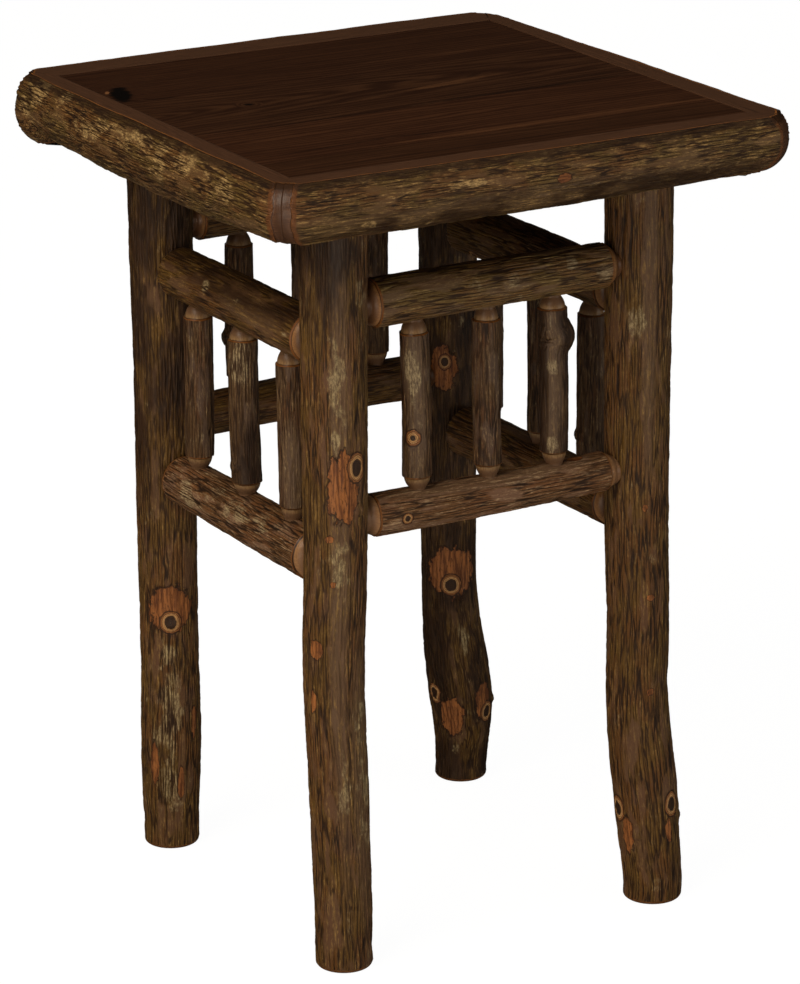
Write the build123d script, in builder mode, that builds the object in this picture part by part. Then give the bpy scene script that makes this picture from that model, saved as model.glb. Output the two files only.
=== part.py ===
from build123d import *
from math import cos, exp, pi, radians, sin, sqrt
import os

# Rustic hickory table: four crooked bark-on poles for legs, eight rails and
# twelve spindles round-tenoned into one another, and a square top of edge-glued
# boards framed by hickory logs whose upper face is planed level with them.
# Millimetres. The origin is on the floor under the middle of the top, +Z is up,
# the front is the -Y side and the left side is the -X side.

# ---- The table as a whole ----
table_height = 762.0
top_width = 508.0            # planed top between its outer arrises, along X
top_depth = 508.0            # the same along Y
bark_thickness = 1.6         # bark stands this far over peeled wood
tenon_clearance = 0.15       # radial room for glue round every round tenon
tenon_end_gap = 0.6          # room left at the bottom of a blind hole

# ---- Legs ----
leg_top_radius = 30.5
leg_foot_radius = 26.5
leg_foot_rounding = 4.0
leg_tenon_radius = 19.0      # round tenon that stands up into the batten
leg_sections = 15            # evenly spaced along the pole
leg_bow_reach = 70.0         # along the pole, each way
leg_swell_reach = 60.0

# One form for each pole. seat: place of its straight upper part. kick: how far
# the foot stands out from there. knee: height where the kick begins. swell: the
# extra radius of a bulge at swell_height. bow: a sideways bend at bow_height.
# growth: extra radius at the foot and the top. knots: cut-off branches as
# (height, compass angle from +X, radius).
leg_forms = {
    "leg_front_left": dict(
        seat=(-158, -169), kick=(2, -5), knee=230, swell=0.0, swell_height=400,
        bow=(-2.5, 1.5), bow_height=285, growth=(-0.5, 0.0),
        knots=((440, 290, 8.0),)),
    "leg_front_right": dict(
        seat=(162, -163.5), kick=(11, -16), knee=245, swell=2.5, swell_height=115,
        bow=(2.5, -1.0), bow_height=270, growth=(1.0, 1.0),
        knots=((70, 215, 9.0), (78, 345, 9.0))),
    "leg_back_left": dict(
        seat=(-159, 162), kick=(4, 12), knee=160, swell=2.0, swell_height=110,
        bow=(1.0, 0.0), bow_height=480, growth=(0.0, 0.0),
        knots=((235, 255, 9.0),)),
    "leg_back_right": dict(
        seat=(156, 170.5), kick=(19, 12), knee=240, swell=5.5, swell_height=110,
        bow=(4.5, -1.5), bow_height=78, growth=(-0.5, -1.5),
        knots=((205, 265, 9.0), (95, 200, 8.0), (85, 320, 9.0))),
}
knot_stand_out = 2.5         # a leg's cut-off branch stands this far proud

# ---- Rails: round poles between the legs, on two levels ----
rail_tenon_radius = 14.0
rail_tenon_depth = 24.0      # into the leg
rail_shoulder = 8.0          # peeled, rounded shoulder between bark and leg
rail_seat_gap = 0.4          # between the shoulder's small end and the leg

# height of the axis, radius at the start and the end, bow (up, outwards)
rail_forms = {
    "front_upper": dict(height=620.0, radii=(22.4, 20.8), bow=(1.0, 1.0)),
    "front_lower": dict(height=424.0, radii=(19.7, 18.5), bow=(-1.0, 0.5)),
    "back_upper": dict(height=623.0, radii=(21.0, 20.5), bow=(0.5, -1.0)),
    "back_lower": dict(height=430.0, radii=(20.5, 21.5), bow=(2.0, 0.0)),
    "left_upper": dict(height=585.0, radii=(23.8, 23.6), bow=(1.5, -1.5)),
    "left_lower": dict(height=382.5, radii=(24.5, 23.0), bow=(-1.0, 1.0)),
    "right_upper": dict(height=583.5, radii=(23.2, 24.6), bow=(1.5, 0.5)),
    "right_lower": dict(height=378.0, radii=(23.6, 24.6), bow=(0.5, 1.0)),
}

# ---- Spindles: short poles between the upper and the lower rail ----
spindle_tenon_radius = 8.0
spindle_tenon_depth = 14.0   # into the rail
spindle_shoulder = 10.5      # peeled cone between bark and rail
spindle_seat_gap = 0.4

# place along the side at the bottom and the top, radius at the bottom and the
# top, and the stub of a branch as (share of the bark's length, angle, radius,
# offset from the axis)
spindle_forms = {
    "front": (
        dict(places=(-73, -77), radii=(13.6, 13.2), bow=(0, 1.0), stub=None),
        dict(places=(1, -2), radii=(13.0, 12.6), bow=(0, -0.5), stub=None),
        dict(places=(72, 68), radii=(12.8, 13.6), bow=(1.5, 0), stub=(0.80, 0, 16.0, 5.5))),
    "back": (
        dict(places=(-74, -76), radii=(15.0, 13.5), bow=(0, 1.0), stub=(0.30, 180, 11.0, 9.0)),
        dict(places=(-3, -3), radii=(13.2, 13.5), bow=(0.5, 0), stub=None),
        dict(places=(73, 74), radii=(13.5, 13.0), bow=(0, 0.5), stub=None)),
    "left": (
        dict(places=(-91, -88), radii=(12.6, 13.0), bow=(0, 0.5), stub=None),
        dict(places=(-2, 0), radii=(14.2, 13.8), bow=(1.0, 0), stub=(0.12, 190, 8.5, 9.0)),
        dict(places=(92, 88), radii=(13.4, 13.6), bow=(-0.5, 0), stub=None)),
    "right": (
        dict(places=(-85, -85), radii=(13.6, 13.2), bow=(0, 0.5), stub=(0.15, 170, 8.0, 8.5)),
        dict(places=(3, 3), radii=(13.0, 13.2), bow=(0.5, 0), stub=None),
        dict(places=(94, 94), radii=(13.2, 12.8), bow=(0, -0.5), stub=(0.55, 10, 8.0, 8.0))),
}

# ---- Log frame round the top ----
log_radius = 32.0            # over the bark, at the corners
log_axis_drop = 25.5         # axis below the planed face
log_corner_bare = 9.0        # peeled wood on each side of a mitre
log_mitre_gap = 0.1          # glue line of the mitre, on each side

# planed face of each log, from the boards to the nominal outer arris
log_face_widths = {"front": 22.0, "back": 37.0, "left": 21.0, "right": 23.0}

# growth of the radius at mid-length, drop of the axis and bow outwards there
log_forms = {
    "front": dict(growth=0.8, drop=0.5, bow=0.5),
    "back": dict(growth=1.0, drop=0.0, bow=0.0),
    "left": dict(growth=3.5, drop=3.0, bow=-0.5),
    "right": dict(growth=2.0, drop=1.0, bow=0.5),
}

# how far each corner of the frame has drifted from the square, in X, Y and Z
corner_drifts = {
    "front_left": (0.0, -1.5, 0.0),
    "front_right": (2.0, -2.0, 3.0),
    "back_right": (-4.0, 4.0, 0.0),
    "back_left": (1.0, 1.0, 0.0),
}

# a swelling that the tree grew under one corner
burl_corner = "back_left"
burl_radius = 33.5
burl_drop = 10.5             # middle below the corner's own

# ---- Boards of the top, from front to back; the last takes what is left ----
board_thickness = 25.0
board_widths = (54.0, 121.0, 140.0)
board_easing = 0.4           # eased upper edge that shows each joint
tongue_thickness = 8.0
tongue_length = 8.0
groove_clearance = 0.2

# ---- Battens under the boards and their screws ----
batten_width = 90.0
batten_thickness = 22.0
batten_end_gap = 6.0         # from the log frame
batten_edge_chamfer = 3.0
screw_radius = 2.4
screw_head_radius = 4.5
screw_length = 38.0
screw_point = 5.0
screw_edge_distance = 9.0    # from the batten's long edge
screw_hole_clearance = 0.15

# ---- Worked out from the values above ----
board_underside = table_height - board_thickness
batten_underside = board_underside - batten_thickness
leg_length = batten_underside
panel_left = log_face_widths["left"] - top_width / 2
panel_right = top_width / 2 - log_face_widths["right"]
panel_front = log_face_widths["front"] - top_depth / 2
panel_back = top_depth / 2 - log_face_widths["back"]
panel_length = panel_right - panel_left
panel_depth = panel_back - panel_front
panel_middle_x = (panel_left + panel_right) / 2
panel_middle_y = (panel_front + panel_back) / 2
panel_middle = (panel_middle_x, panel_middle_y)
groove_middle = table_height - board_thickness / 2
groove_height = tongue_thickness + 2 * groove_clearance
groove_depth = tongue_length + groove_clearance
log_half_chord = sqrt(log_radius**2 - log_axis_drop**2)
log_axis_z = table_height - log_axis_drop

sides = ("front", "back", "left", "right")
side_legs = {
    "front": ("leg_front_left", "leg_front_right"),
    "back": ("leg_back_left", "leg_back_right"),
    "left": ("leg_front_left", "leg_back_left"),
    "right": ("leg_front_right", "leg_back_right"),
}
outwards = {
    "front": Vector(0, -1, 0),
    "back": Vector(0, 1, 0),
    "left": Vector(-1, 0, 0),
    "right": Vector(1, 0, 0),
}


def smooth_step(share):
    """0 to 1 with level ends, held at 0 below and at 1 above."""
    held = min(max(share, 0), 1)
    return held * held * (3 - 2 * held)


def hump(distance, reach):
    """1 at the middle of a bulge, falling off over its reach."""
    return exp(-((distance / reach) ** 2))


def leg_axis(name, height):
    """Where the middle of a crooked leg is at a height above the floor."""
    form = leg_forms[name]
    kicked = smooth_step((form["knee"] - height) / form["knee"])
    bowed = hump(height - form["bow_height"], leg_bow_reach)
    x = form["seat"][0] + form["kick"][0] * kicked + form["bow"][0] * bowed
    y = form["seat"][1] + form["kick"][1] * kicked + form["bow"][1] * bowed
    return Vector(x, y, height)


def leg_radius(name, height):
    """Half the thickness of a leg over its bark at a height."""
    form = leg_forms[name]
    foot = leg_foot_radius + form["growth"][0]
    top = leg_top_radius + form["growth"][1]
    return (
        foot
        + (top - foot) * height / leg_length
        + form["swell"] * hump(height - form["swell_height"], leg_swell_reach)
    )


def side_frame(start, end, side):
    """Frame of a pole from start to end: local x up or sideways, z along it."""
    along = (end - start).normalized()
    across = Vector(0, 0, 1) if abs(along.Z) < 0.5 else outwards[side]
    return Plane(origin=start, x_dir=across - along * across.dot(along), z_dir=along)


def bored_hole(frame, near, far, radius):
    """Drill the part in hand along a pole's axis, from near to far."""
    with BuildSketch(frame.offset(near)) as mouth:
        Circle(radius)
    extrude(mouth.sketch, amount=far - near, mode=Mode.SUBTRACT)


def bark_circles(frame, first, last, radii, bow):
    """Sections of a pole's bark from first to last along its frame, lofted."""
    rings = []
    for share in (0, 0.25, 0.5, 0.75, 1):
        bent = sin(pi * share)
        middle = frame.from_local_coords(Vector(bow[0] * bent, bow[1] * bent, 0))
        section = Plane(origin=middle, x_dir=frame.x_dir, z_dir=frame.z_dir)
        with BuildSketch(section.offset(first + (last - first) * share)) as ring:
            Circle(radii[0] + (radii[1] - radii[0]) * share)
        rings.append(ring.sketch)
    loft(rings)


def peeled_end(frame, bark_edge, seat, tip, bark_radius, tenon_radius):
    """Turn a round tenon and its rounded shoulder about a pole's axis.

    bark_edge, seat and tip are distances along the frame: where the bark stops,
    where the shoulder meets the piece it is let into, and the tenon's end.
    """
    wood = bark_radius - bark_thickness
    towards_bark = 1 if bark_edge > seat else -1
    inside_bark = bark_edge + towards_bark * bark_thickness
    tip_chamfer = tenon_radius / 8
    belly = (seat + (bark_edge - seat) * 0.42, tenon_radius + (wood - tenon_radius) * 0.68)
    half_plane = Plane(origin=frame.origin, x_dir=frame.z_dir, z_dir=frame.y_dir)
    with BuildSketch(half_plane) as half_profile:
        with BuildLine():
            Polyline(
                (inside_bark, 0),
                (tip, 0),
                (tip, tenon_radius - tip_chamfer),
                (tip + towards_bark * tip_chamfer, tenon_radius),
                (seat, tenon_radius))
            ThreePointArc((seat, tenon_radius), belly, (bark_edge, wood))
            Polyline((bark_edge, wood), (inside_bark, wood), (inside_bark, 0))
        make_face()
    revolve(half_profile.sketch, axis=Axis(frame.origin, frame.z_dir))


def rail_ends(side, level):
    """Axis of a rail: from the middle of one leg to the middle of the other."""
    height = rail_forms[side + "_" + level]["height"]
    first, second = side_legs[side]
    return leg_axis(first, height), leg_axis(second, height)


def rail_bark_span(side, level):
    """Distances along a rail's axis between which it wears its bark."""
    height = rail_forms[side + "_" + level]["height"]
    first, second = side_legs[side]
    start, end = rail_ends(side, level)
    reach = rail_seat_gap + rail_shoulder
    near = leg_radius(first, height) + reach
    far = (end - start).length - leg_radius(second, height) - reach
    return near, far


def rail_at(side, level, place):
    """Middle and radius of a rail where its axis passes a place along its side."""
    form = rail_forms[side + "_" + level]
    start, end = rail_ends(side, level)
    frame = side_frame(start, end, side)
    along = end - start
    run = along.X if side in ("front", "back") else along.Y
    begun = start.X if side in ("front", "back") else start.Y
    distance = (place - begun) / run * along.length
    near, far = rail_bark_span(side, level)
    share = (distance - near) / (far - near)
    bent = sin(pi * share)
    middle = frame.from_local_coords(
        Vector(form["bow"][0] * bent, form["bow"][1] * bent, distance))
    radius = form["radii"][0] + (form["radii"][1] - form["radii"][0]) * share
    return middle, radius


def rail_frame(side, level):
    """Frame of a rail, from the middle of its first leg."""
    start, end = rail_ends(side, level)
    return side_frame(start, end, side)


def spindle_frame(side, form):
    """Frame, length and the two seats of a spindle between its rails."""
    bottom, lower_radius = rail_at(side, "lower", form["places"][0])
    top, upper_radius = rail_at(side, "upper", form["places"][1])
    frame = side_frame(bottom, top, side)
    return frame, (top - bottom).length, lower_radius, upper_radius


def batten_middle(front_leg, back_leg):
    """A batten lies over the tops of its two legs."""
    return (leg_axis(front_leg, leg_length).X + leg_axis(back_leg, leg_length).X) / 2


batten_middles = {
    "left": batten_middle("leg_front_left", "leg_back_left"),
    "right": batten_middle("leg_front_right", "leg_back_right"),
}
last_board = panel_depth - sum(board_widths)
board_edges = [panel_front]
for width in board_widths + (last_board,):
    board_edges.append(board_edges[-1] + width)


def screw_places(hand):
    """Screws through one batten: a pair into the middle of every board."""
    offset = batten_width / 2 - screw_edge_distance
    return [
        (batten_middles[hand] + way * offset, (front_edge + back_edge) / 2)
        for front_edge, back_edge in zip(board_edges[:-1], board_edges[1:])
        for way in (-1, 1)
    ]


# ---- Legs ----
for leg_name, leg_form in leg_forms.items():
    top_middle = leg_axis(leg_name, leg_length)
    with BuildPart() as leg:
        for section_number in range(leg_sections):
            section_height = leg_length * section_number / (leg_sections - 1)
            with BuildSketch(Plane(leg_axis(leg_name, section_height))):
                Circle(leg_radius(leg_name, section_height))
        loft()
        fillet(leg.faces().sort_by(Axis.Z)[0].edges(), leg_foot_rounding)
        # cut-off branches: low domes that stand proud of the bark
        for knot_height, knot_angle, knot_radius in leg_form["knots"]:
            knot_reach = leg_radius(leg_name, knot_height) + knot_stand_out - knot_radius
            knot_way = Vector(cos(radians(knot_angle)), sin(radians(knot_angle)), 0)
            with Locations(leg_axis(leg_name, knot_height) + knot_way * knot_reach):
                Sphere(knot_radius)
        # round tenon into the batten
        with BuildSketch(Plane(top_middle)):
            Circle(leg_tenon_radius)
        extrude(amount=batten_thickness - tenon_end_gap)
        chamfer(leg.faces().sort_by(Axis.Z)[-1].edges(), leg_tenon_radius / 12)
        # blind holes for the rails that meet in this leg
        for side in sides:
            if leg_name not in side_legs[side]:
                continue
            for level in ("upper", "lower"):
                rail_height = rail_forms[side + "_" + level]["height"]
                bark_here = leg_radius(leg_name, rail_height)
                hole_bottom = bark_here - rail_tenon_depth - tenon_end_gap
                rail_line = rail_frame(side, level)
                if leg_name == side_legs[side][1]:
                    start, end = rail_ends(side, level)
                    rail_line = side_frame(end, start, side)
                bored_hole(
                    rail_line, hole_bottom, bark_here + rail_shoulder,
                    rail_tenon_radius + tenon_clearance)
    leg.part.label = leg_name
    export_step(leg.part, f"parts/{leg_name}.step")

# ---- Rails ----
for side in sides:
    for level in ("upper", "lower"):
        rail_form = rail_forms[side + "_" + level]
        rail_line = rail_frame(side, level)
        start, end = rail_ends(side, level)
        rail_length = (end - start).length
        bark_near, bark_far = rail_bark_span(side, level)
        seat_near = bark_near - rail_shoulder
        seat_far = bark_far + rail_shoulder
        with BuildPart() as rail:
            bark_circles(rail_line, bark_near, bark_far, rail_form["radii"], rail_form["bow"])
            peeled_end(
                rail_line, bark_near, seat_near, seat_near - rail_seat_gap - rail_tenon_depth,
                rail_form["radii"][0], rail_tenon_radius)
            peeled_end(
                rail_line, bark_far, seat_far, seat_far + rail_seat_gap + rail_tenon_depth,
                rail_form["radii"][1], rail_tenon_radius)
            # blind holes for the spindles, from below in an upper rail
            for form in spindle_forms[side]:
                stick_line, stick_length, lower_radius, upper_radius = spindle_frame(side, form)
                hole_radius = spindle_tenon_radius + tenon_clearance
                if level == "lower":
                    hole_bottom = lower_radius - spindle_tenon_depth - tenon_end_gap
                    bored_hole(stick_line, hole_bottom, lower_radius + spindle_shoulder, hole_radius)
                else:
                    hole_bottom = stick_length - upper_radius + spindle_tenon_depth + tenon_end_gap
                    hole_mouth = stick_length - upper_radius - spindle_shoulder
                    bored_hole(stick_line, hole_bottom, hole_mouth, hole_radius)
        rail.part.label = f"{side}_{level}_rail"
        export_step(rail.part, f"parts/{side}_{level}_rail.step")

# ---- Spindles ----
for side in sides:
    for number, form in enumerate(spindle_forms[side], start=1):
        stick_line, stick_length, lower_radius, upper_radius = spindle_frame(side, form)
        seat_low = lower_radius + spindle_seat_gap
        seat_high = stick_length - upper_radius - spindle_seat_gap
        bark_low = seat_low + spindle_shoulder
        bark_high = seat_high - spindle_shoulder
        with BuildPart() as spindle:
            bark_circles(stick_line, bark_low, bark_high, form["radii"], form["bow"])
            peeled_end(
                stick_line, bark_low, seat_low, seat_low - spindle_seat_gap - spindle_tenon_depth,
                form["radii"][0], spindle_tenon_radius)
            peeled_end(
                stick_line, bark_high, seat_high,
                seat_high + spindle_seat_gap + spindle_tenon_depth,
                form["radii"][1], spindle_tenon_radius)
            if form["stub"]:
                stub_share, stub_angle, stub_radius, stub_offset = form["stub"]
                stub_middle = Vector(
                    stub_offset * cos(radians(stub_angle)),
                    stub_offset * sin(radians(stub_angle)),
                    0)
                stub_height = bark_low + (bark_high - bark_low) * stub_share
                with Locations(stick_line.origin + stub_middle + stick_line.z_dir * stub_height):
                    Sphere(stub_radius)
        spindle.part.label = f"{side}_spindle_{number}"
        export_step(spindle.part, f"parts/{side}_spindle_{number}.step")

# ---- Boards of the top ----
all_screws = screw_places("left") + screw_places("right")
for number in range(1, len(board_edges)):
    front_edge, back_edge = board_edges[number - 1], board_edges[number]
    board_middle = (panel_middle_x, (front_edge + back_edge) / 2)
    board_width = back_edge - front_edge
    with BuildPart() as board:
        with BuildSketch(Plane.XY.offset(board_underside)):
            with Locations(board_middle):
                Rectangle(panel_length, board_width)
        extrude(amount=board_thickness)
        chamfer(board.faces().sort_by(Axis.Z)[-1].edges(), board_easing)
        # tongues: both ends into the log frame, the back edge into its neighbour,
        # and the first board's front edge into the front log
        with BuildSketch(Plane.XY.offset(groove_middle - tongue_thickness / 2)):
            with Locations(board_middle):
                Rectangle(panel_length + 2 * tongue_length, board_width)
            with Locations((panel_middle_x, back_edge + tongue_length / 2)):
                Rectangle(panel_length, tongue_length)
            if number == 1:
                with Locations((panel_middle_x, front_edge - tongue_length / 2)):
                    Rectangle(panel_length, tongue_length)
        extrude(amount=tongue_thickness)
        if number > 1:
            with BuildSketch(Plane.XY.offset(groove_middle - groove_height / 2)):
                with Locations((panel_middle_x, front_edge)):
                    Rectangle(panel_length + 2 * groove_depth, 2 * groove_depth)
            extrude(amount=groove_height, mode=Mode.SUBTRACT)
        # pilot holes for the screws that come up through the battens
        own_screws = [place for place in all_screws if front_edge < place[1] < back_edge]
        with BuildSketch(Plane.XY.offset(board_underside)):
            with Locations(own_screws):
                Circle(screw_radius + screw_hole_clearance)
        extrude(amount=screw_length - batten_thickness + tenon_end_gap, mode=Mode.SUBTRACT)
    board.part.label = f"top_board_{number}"
    export_step(board.part, f"parts/top_board_{number}.step")

# ---- Log frame ----
corner_signs = {
    "front_left": (-1, -1),
    "front_right": (1, -1),
    "back_right": (1, 1),
    "back_left": (-1, 1),
}
log_corners = {
    name: Vector(
        sign[0] * (top_width / 2 - log_half_chord) + corner_drifts[name][0],
        sign[1] * (top_depth / 2 - log_half_chord) + corner_drifts[name][1],
        log_axis_z + corner_drifts[name][2])
    for name, sign in corner_signs.items()
}
inner_corners = {
    "front_left": Vector(panel_left, panel_front, log_axis_z),
    "front_right": Vector(panel_right, panel_front, log_axis_z),
    "back_right": Vector(panel_right, panel_back, log_axis_z),
    "back_left": Vector(panel_left, panel_back, log_axis_z),
}
side_corners = {
    "front": ("front_left", "front_right"),
    "right": ("front_right", "back_right"),
    "back": ("back_right", "back_left"),
    "left": ("back_left", "front_left"),
}
wood_radius = log_radius - bark_thickness


def mitre_way(corner):
    """Direction of a mitre seen from above: inner corner to outer arris corner."""
    sign = corner_signs[corner]
    outer = log_corners[corner] + Vector(sign[0], sign[1], 0) * log_half_chord
    across = outer - inner_corners[corner]
    return Vector(across.X, across.Y, 0).normalized()


for side in sides:
    log_form = log_forms[side]
    log_start, log_end = (log_corners[name] for name in side_corners[side])
    log_span = (log_end - log_start).length
    log_way = (log_end - log_start).normalized()
    burl_places = []
    if burl_corner in side_corners[side]:
        burl_places = [log_corners[burl_corner] - Vector(0, 0, burl_drop)]
    with BuildPart() as edge_log:
        # bark: a pole that swells and sags a little, rounded off at the corners
        for share in (0, 0.25, 0.5, 0.75, 1):
            bent = sin(pi * share)
            section_middle = (
                log_start
                + (log_end - log_start) * share
                + outwards[side] * log_form["bow"] * bent
                - Vector(0, 0, log_form["drop"] * bent))
            with BuildSketch(Plane(origin=section_middle, x_dir=(0, 0, 1), z_dir=log_way)):
                Circle(log_radius + log_form["growth"] * bent)
        loft()
        with Locations(log_start, log_end):
            Sphere(log_radius)
        if burl_places:
            with Locations(burl_places):
                Sphere(burl_radius)
        for corner in side_corners[side]:
            with BuildSketch(
                Plane(
                    origin=inner_corners[corner] - Vector(0, 0, 2 * log_radius),
                    x_dir=mitre_way(corner),
                    z_dir=(0, 0, 1))):
                with Locations((log_radius, 0)):
                    Rectangle(6 * log_radius, 2 * log_corner_bare)
            extrude(amount=4 * log_radius, mode=Mode.SUBTRACT)
        # the wood under it, bare at the mitres
        with BuildSketch(
            Plane(
                origin=(log_start + log_end) / 2, x_dir=log_way,
                z_dir=outwards[side].cross(log_way))):
            SlotCenterToCenter(log_span, 2 * wood_radius)
            with Locations((0, -wood_radius)):
                Rectangle(log_span + 2 * wood_radius, 2 * wood_radius, mode=Mode.SUBTRACT)
        revolve(axis=Axis(log_start, log_way))
        if burl_places:
            with Locations(burl_places):
                Sphere(burl_radius - bark_thickness)
        # planed upper face
        with BuildSketch(Plane.XY.offset(table_height)):
            Rectangle(2 * top_width, 2 * top_depth)
        extrude(amount=2 * log_radius, mode=Mode.SUBTRACT)
        # sawn inner face and the groove for the boards' tongues
        with BuildSketch(Plane.XY.offset(log_axis_z - 2 * log_radius)):
            with Locations(panel_middle):
                Rectangle(panel_length, panel_depth)
        extrude(amount=4 * log_radius, mode=Mode.SUBTRACT)
        with BuildSketch(Plane.XY.offset(groove_middle - groove_height / 2)):
            with Locations(panel_middle):
                Rectangle(panel_length + 2 * groove_depth, panel_depth + 2 * groove_depth)
        extrude(amount=groove_height, mode=Mode.SUBTRACT)
        # sawn off at both mitres, back from each mitre line by half the glue line
        mitre_points = []
        for corner, way in zip(side_corners[side], (1, -1)):
            saw_way = mitre_way(corner)
            slack = log_mitre_gap / abs(saw_way.cross(log_way).Z)
            inner_point = inner_corners[corner] + log_way * slack * way
            mitre_points.append(inner_point - saw_way * log_radius)
            mitre_points.append(inner_point + saw_way * 4 * log_radius)
        start_in, start_out, end_in, end_out = [(point.X, point.Y) for point in mitre_points]
        with BuildSketch(Plane.XY.offset(log_axis_z - 2 * log_radius)):
            Polygon(start_in, start_out, end_out, end_in, align=None)
        extrude(amount=4 * log_radius, mode=Mode.INTERSECT)
    edge_log.part.label = f"{side}_edge_log"
    export_step(edge_log.part, f"parts/{side}_edge_log.step")

# ---- Battens ----
batten_length = panel_depth - 2 * batten_end_gap
for hand, batten_x in batten_middles.items():
    with BuildPart() as batten:
        with BuildSketch(Plane.XY.offset(batten_underside)):
            with Locations((batten_x, panel_middle_y)):
                Rectangle(batten_width, batten_length)
        extrude(amount=batten_thickness)
        chamfer(batten.faces().sort_by(Axis.Z)[0].edges(), batten_edge_chamfer)
        # holes for the tenons of the two legs
        for depth_name in ("front", "back"):
            over_leg = leg_axis(f"leg_{depth_name}_{hand}", leg_length)
            with BuildSketch(Plane(over_leg)):
                Circle(leg_tenon_radius + tenon_clearance)
            extrude(amount=batten_thickness, mode=Mode.SUBTRACT)
        # countersunk screw holes, from below
        with BuildSketch(Plane.XY.offset(batten_underside)):
            with Locations(screw_places(hand)):
                Circle(screw_radius + screw_hole_clearance)
        extrude(amount=batten_thickness, mode=Mode.SUBTRACT)
        sink_radius = screw_head_radius + screw_hole_clearance
        sink_depth = screw_head_radius - screw_radius
        with Locations([(x, y, batten_underside + sink_depth / 2) for x, y in screw_places(hand)]):
            Cone(
                sink_radius, screw_radius + screw_hole_clearance, sink_depth,
                mode=Mode.SUBTRACT)
    batten.part.label = f"batten_{hand}"
    export_step(batten.part, f"parts/batten_{hand}.step")

# ---- Screws: countersunk heads below, points up in the boards ----
with BuildPart() as batten_screws:
    for x, y in all_screws:
        foot = Plane(origin=(x, y, batten_underside), x_dir=(1, 0, 0), z_dir=(0, -1, 0))
        with BuildSketch(foot):
            Polygon(
                (0, 0),
                (screw_head_radius, 0),
                (screw_radius, screw_head_radius - screw_radius),
                (screw_radius, screw_length - screw_point),
                (0, screw_length),
                align=None)
        revolve(axis=Axis((x, y, 0), (0, 0, 1)))
batten_screws.part.label = "batten_screws"
export_step(batten_screws.part, "parts/batten_screws.step")
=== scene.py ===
# %% [markdown]
# # A table of hickory poles
# The table is made of crooked hickory poles with the bark still on, under a top of
# stained boards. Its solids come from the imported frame, in metres, with +Z up and
# the front at -Y. Every piece below is fitted over one of them, so no piece has to
# be placed by eye.

# %% Load the frame
from itertools import count
from math import cos, pi, radians, sin, sqrt
from types import SimpleNamespace

import bpy
import numpy as np
from mathutils import Matrix, Vector
from mathutils.bvhtree import BVHTree


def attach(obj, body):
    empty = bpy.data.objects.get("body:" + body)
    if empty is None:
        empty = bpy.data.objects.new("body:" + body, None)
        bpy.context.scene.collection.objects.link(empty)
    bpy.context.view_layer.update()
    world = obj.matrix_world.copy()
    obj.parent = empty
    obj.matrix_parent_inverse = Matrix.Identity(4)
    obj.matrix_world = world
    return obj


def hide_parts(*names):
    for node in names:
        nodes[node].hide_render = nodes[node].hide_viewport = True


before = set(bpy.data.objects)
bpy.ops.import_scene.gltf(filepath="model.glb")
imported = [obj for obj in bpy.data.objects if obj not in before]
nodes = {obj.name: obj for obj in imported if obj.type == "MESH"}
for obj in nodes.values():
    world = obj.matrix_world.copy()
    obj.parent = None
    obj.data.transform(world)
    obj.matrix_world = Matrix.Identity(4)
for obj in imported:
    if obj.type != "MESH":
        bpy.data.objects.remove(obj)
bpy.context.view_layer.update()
mm = 0.001
print(len(nodes), "solids in the frame")

# %% [markdown]
# ## Small helpers
# Colours are written as the sRGB codes that a paint chart would give. A shader
# works in linear light, so one function turns each code into a linear colour.
# Shaders and Geometry Nodes trees are both made of nodes, and a script needs a few
# lines to add, set and link each one. One function does that for every kind, so
# that a node is one call, and the call names the kind as Blender does.

# %% Colour helper
def dye(code):
    """An sRGB code such as #6b4a2c as a linear colour."""
    parts = [int(code[i:i + 2], 16) / 255 for i in (1, 3, 5)]
    return [p / 12.92 if p <= 0.04045 else ((p + 0.055) / 1.055) ** 2.4 for p in parts] + [1]


print("linear mid grey:", round(dye("#808080")[0], 3))


# %% Node helper
def add(tree, kind, *values, **settings):
    """A new node with its settings and links.

    Values fill the sockets that are in use, in their order, and a dict fills them by
    name. A value that is a node or a socket is linked; a node gives its first output.
    """
    node = tree.nodes.new(kind)
    for name, setting in settings.items():
        setattr(node, name, setting)
    sockets = [socket for socket in node.inputs if socket.enabled]
    if values and isinstance(values[0], dict):
        sockets = [node.inputs[name] for name in values[0]]
        values = values[0].values()
    for socket, value in zip(sockets, values):
        if isinstance(value, bpy.types.Node):
            value = next(output for output in value.outputs if output.enabled)
        if isinstance(value, bpy.types.NodeSocket):
            tree.links.new(value, socket)
        else:
            socket.default_value = value
    return node


# %% [markdown]
# ### What every finish repeats
# Bark and wood are patterns drawn out along the grain, with one colour laid over
# another where a pattern says so. An image would give both, but it would have to
# be wrapped round crooked poles. Noise in real millimetres needs no wrapping, so
# mottle makes such a pattern, and coat lays a colour by it.

# %% Pattern and coat
def mottle(tree, place, longer, size, detail=2.0, roughness=0.5):
    """Noise with lumps of a real size, that many times longer along each axis."""
    squeezed = add(
        tree, "ShaderNodeVectorMath", place, [1 / times for times in longer],
        operation="MULTIPLY")
    return add(tree, "ShaderNodeTexNoise", squeezed, 1 / size, detail, roughness)


def coat(tree, under, over, value, none, full, share=1.0):
    """Colour over laid on under: not at all where value is at none, its share at full."""
    amount = add(
        tree, "ShaderNodeMapRange", value, none, full, 0.0, share,
        interpolation_type="SMOOTHSTEP")
    return add(tree, "ShaderNodeMix", amount, under, over, data_type="RGBA")
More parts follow.
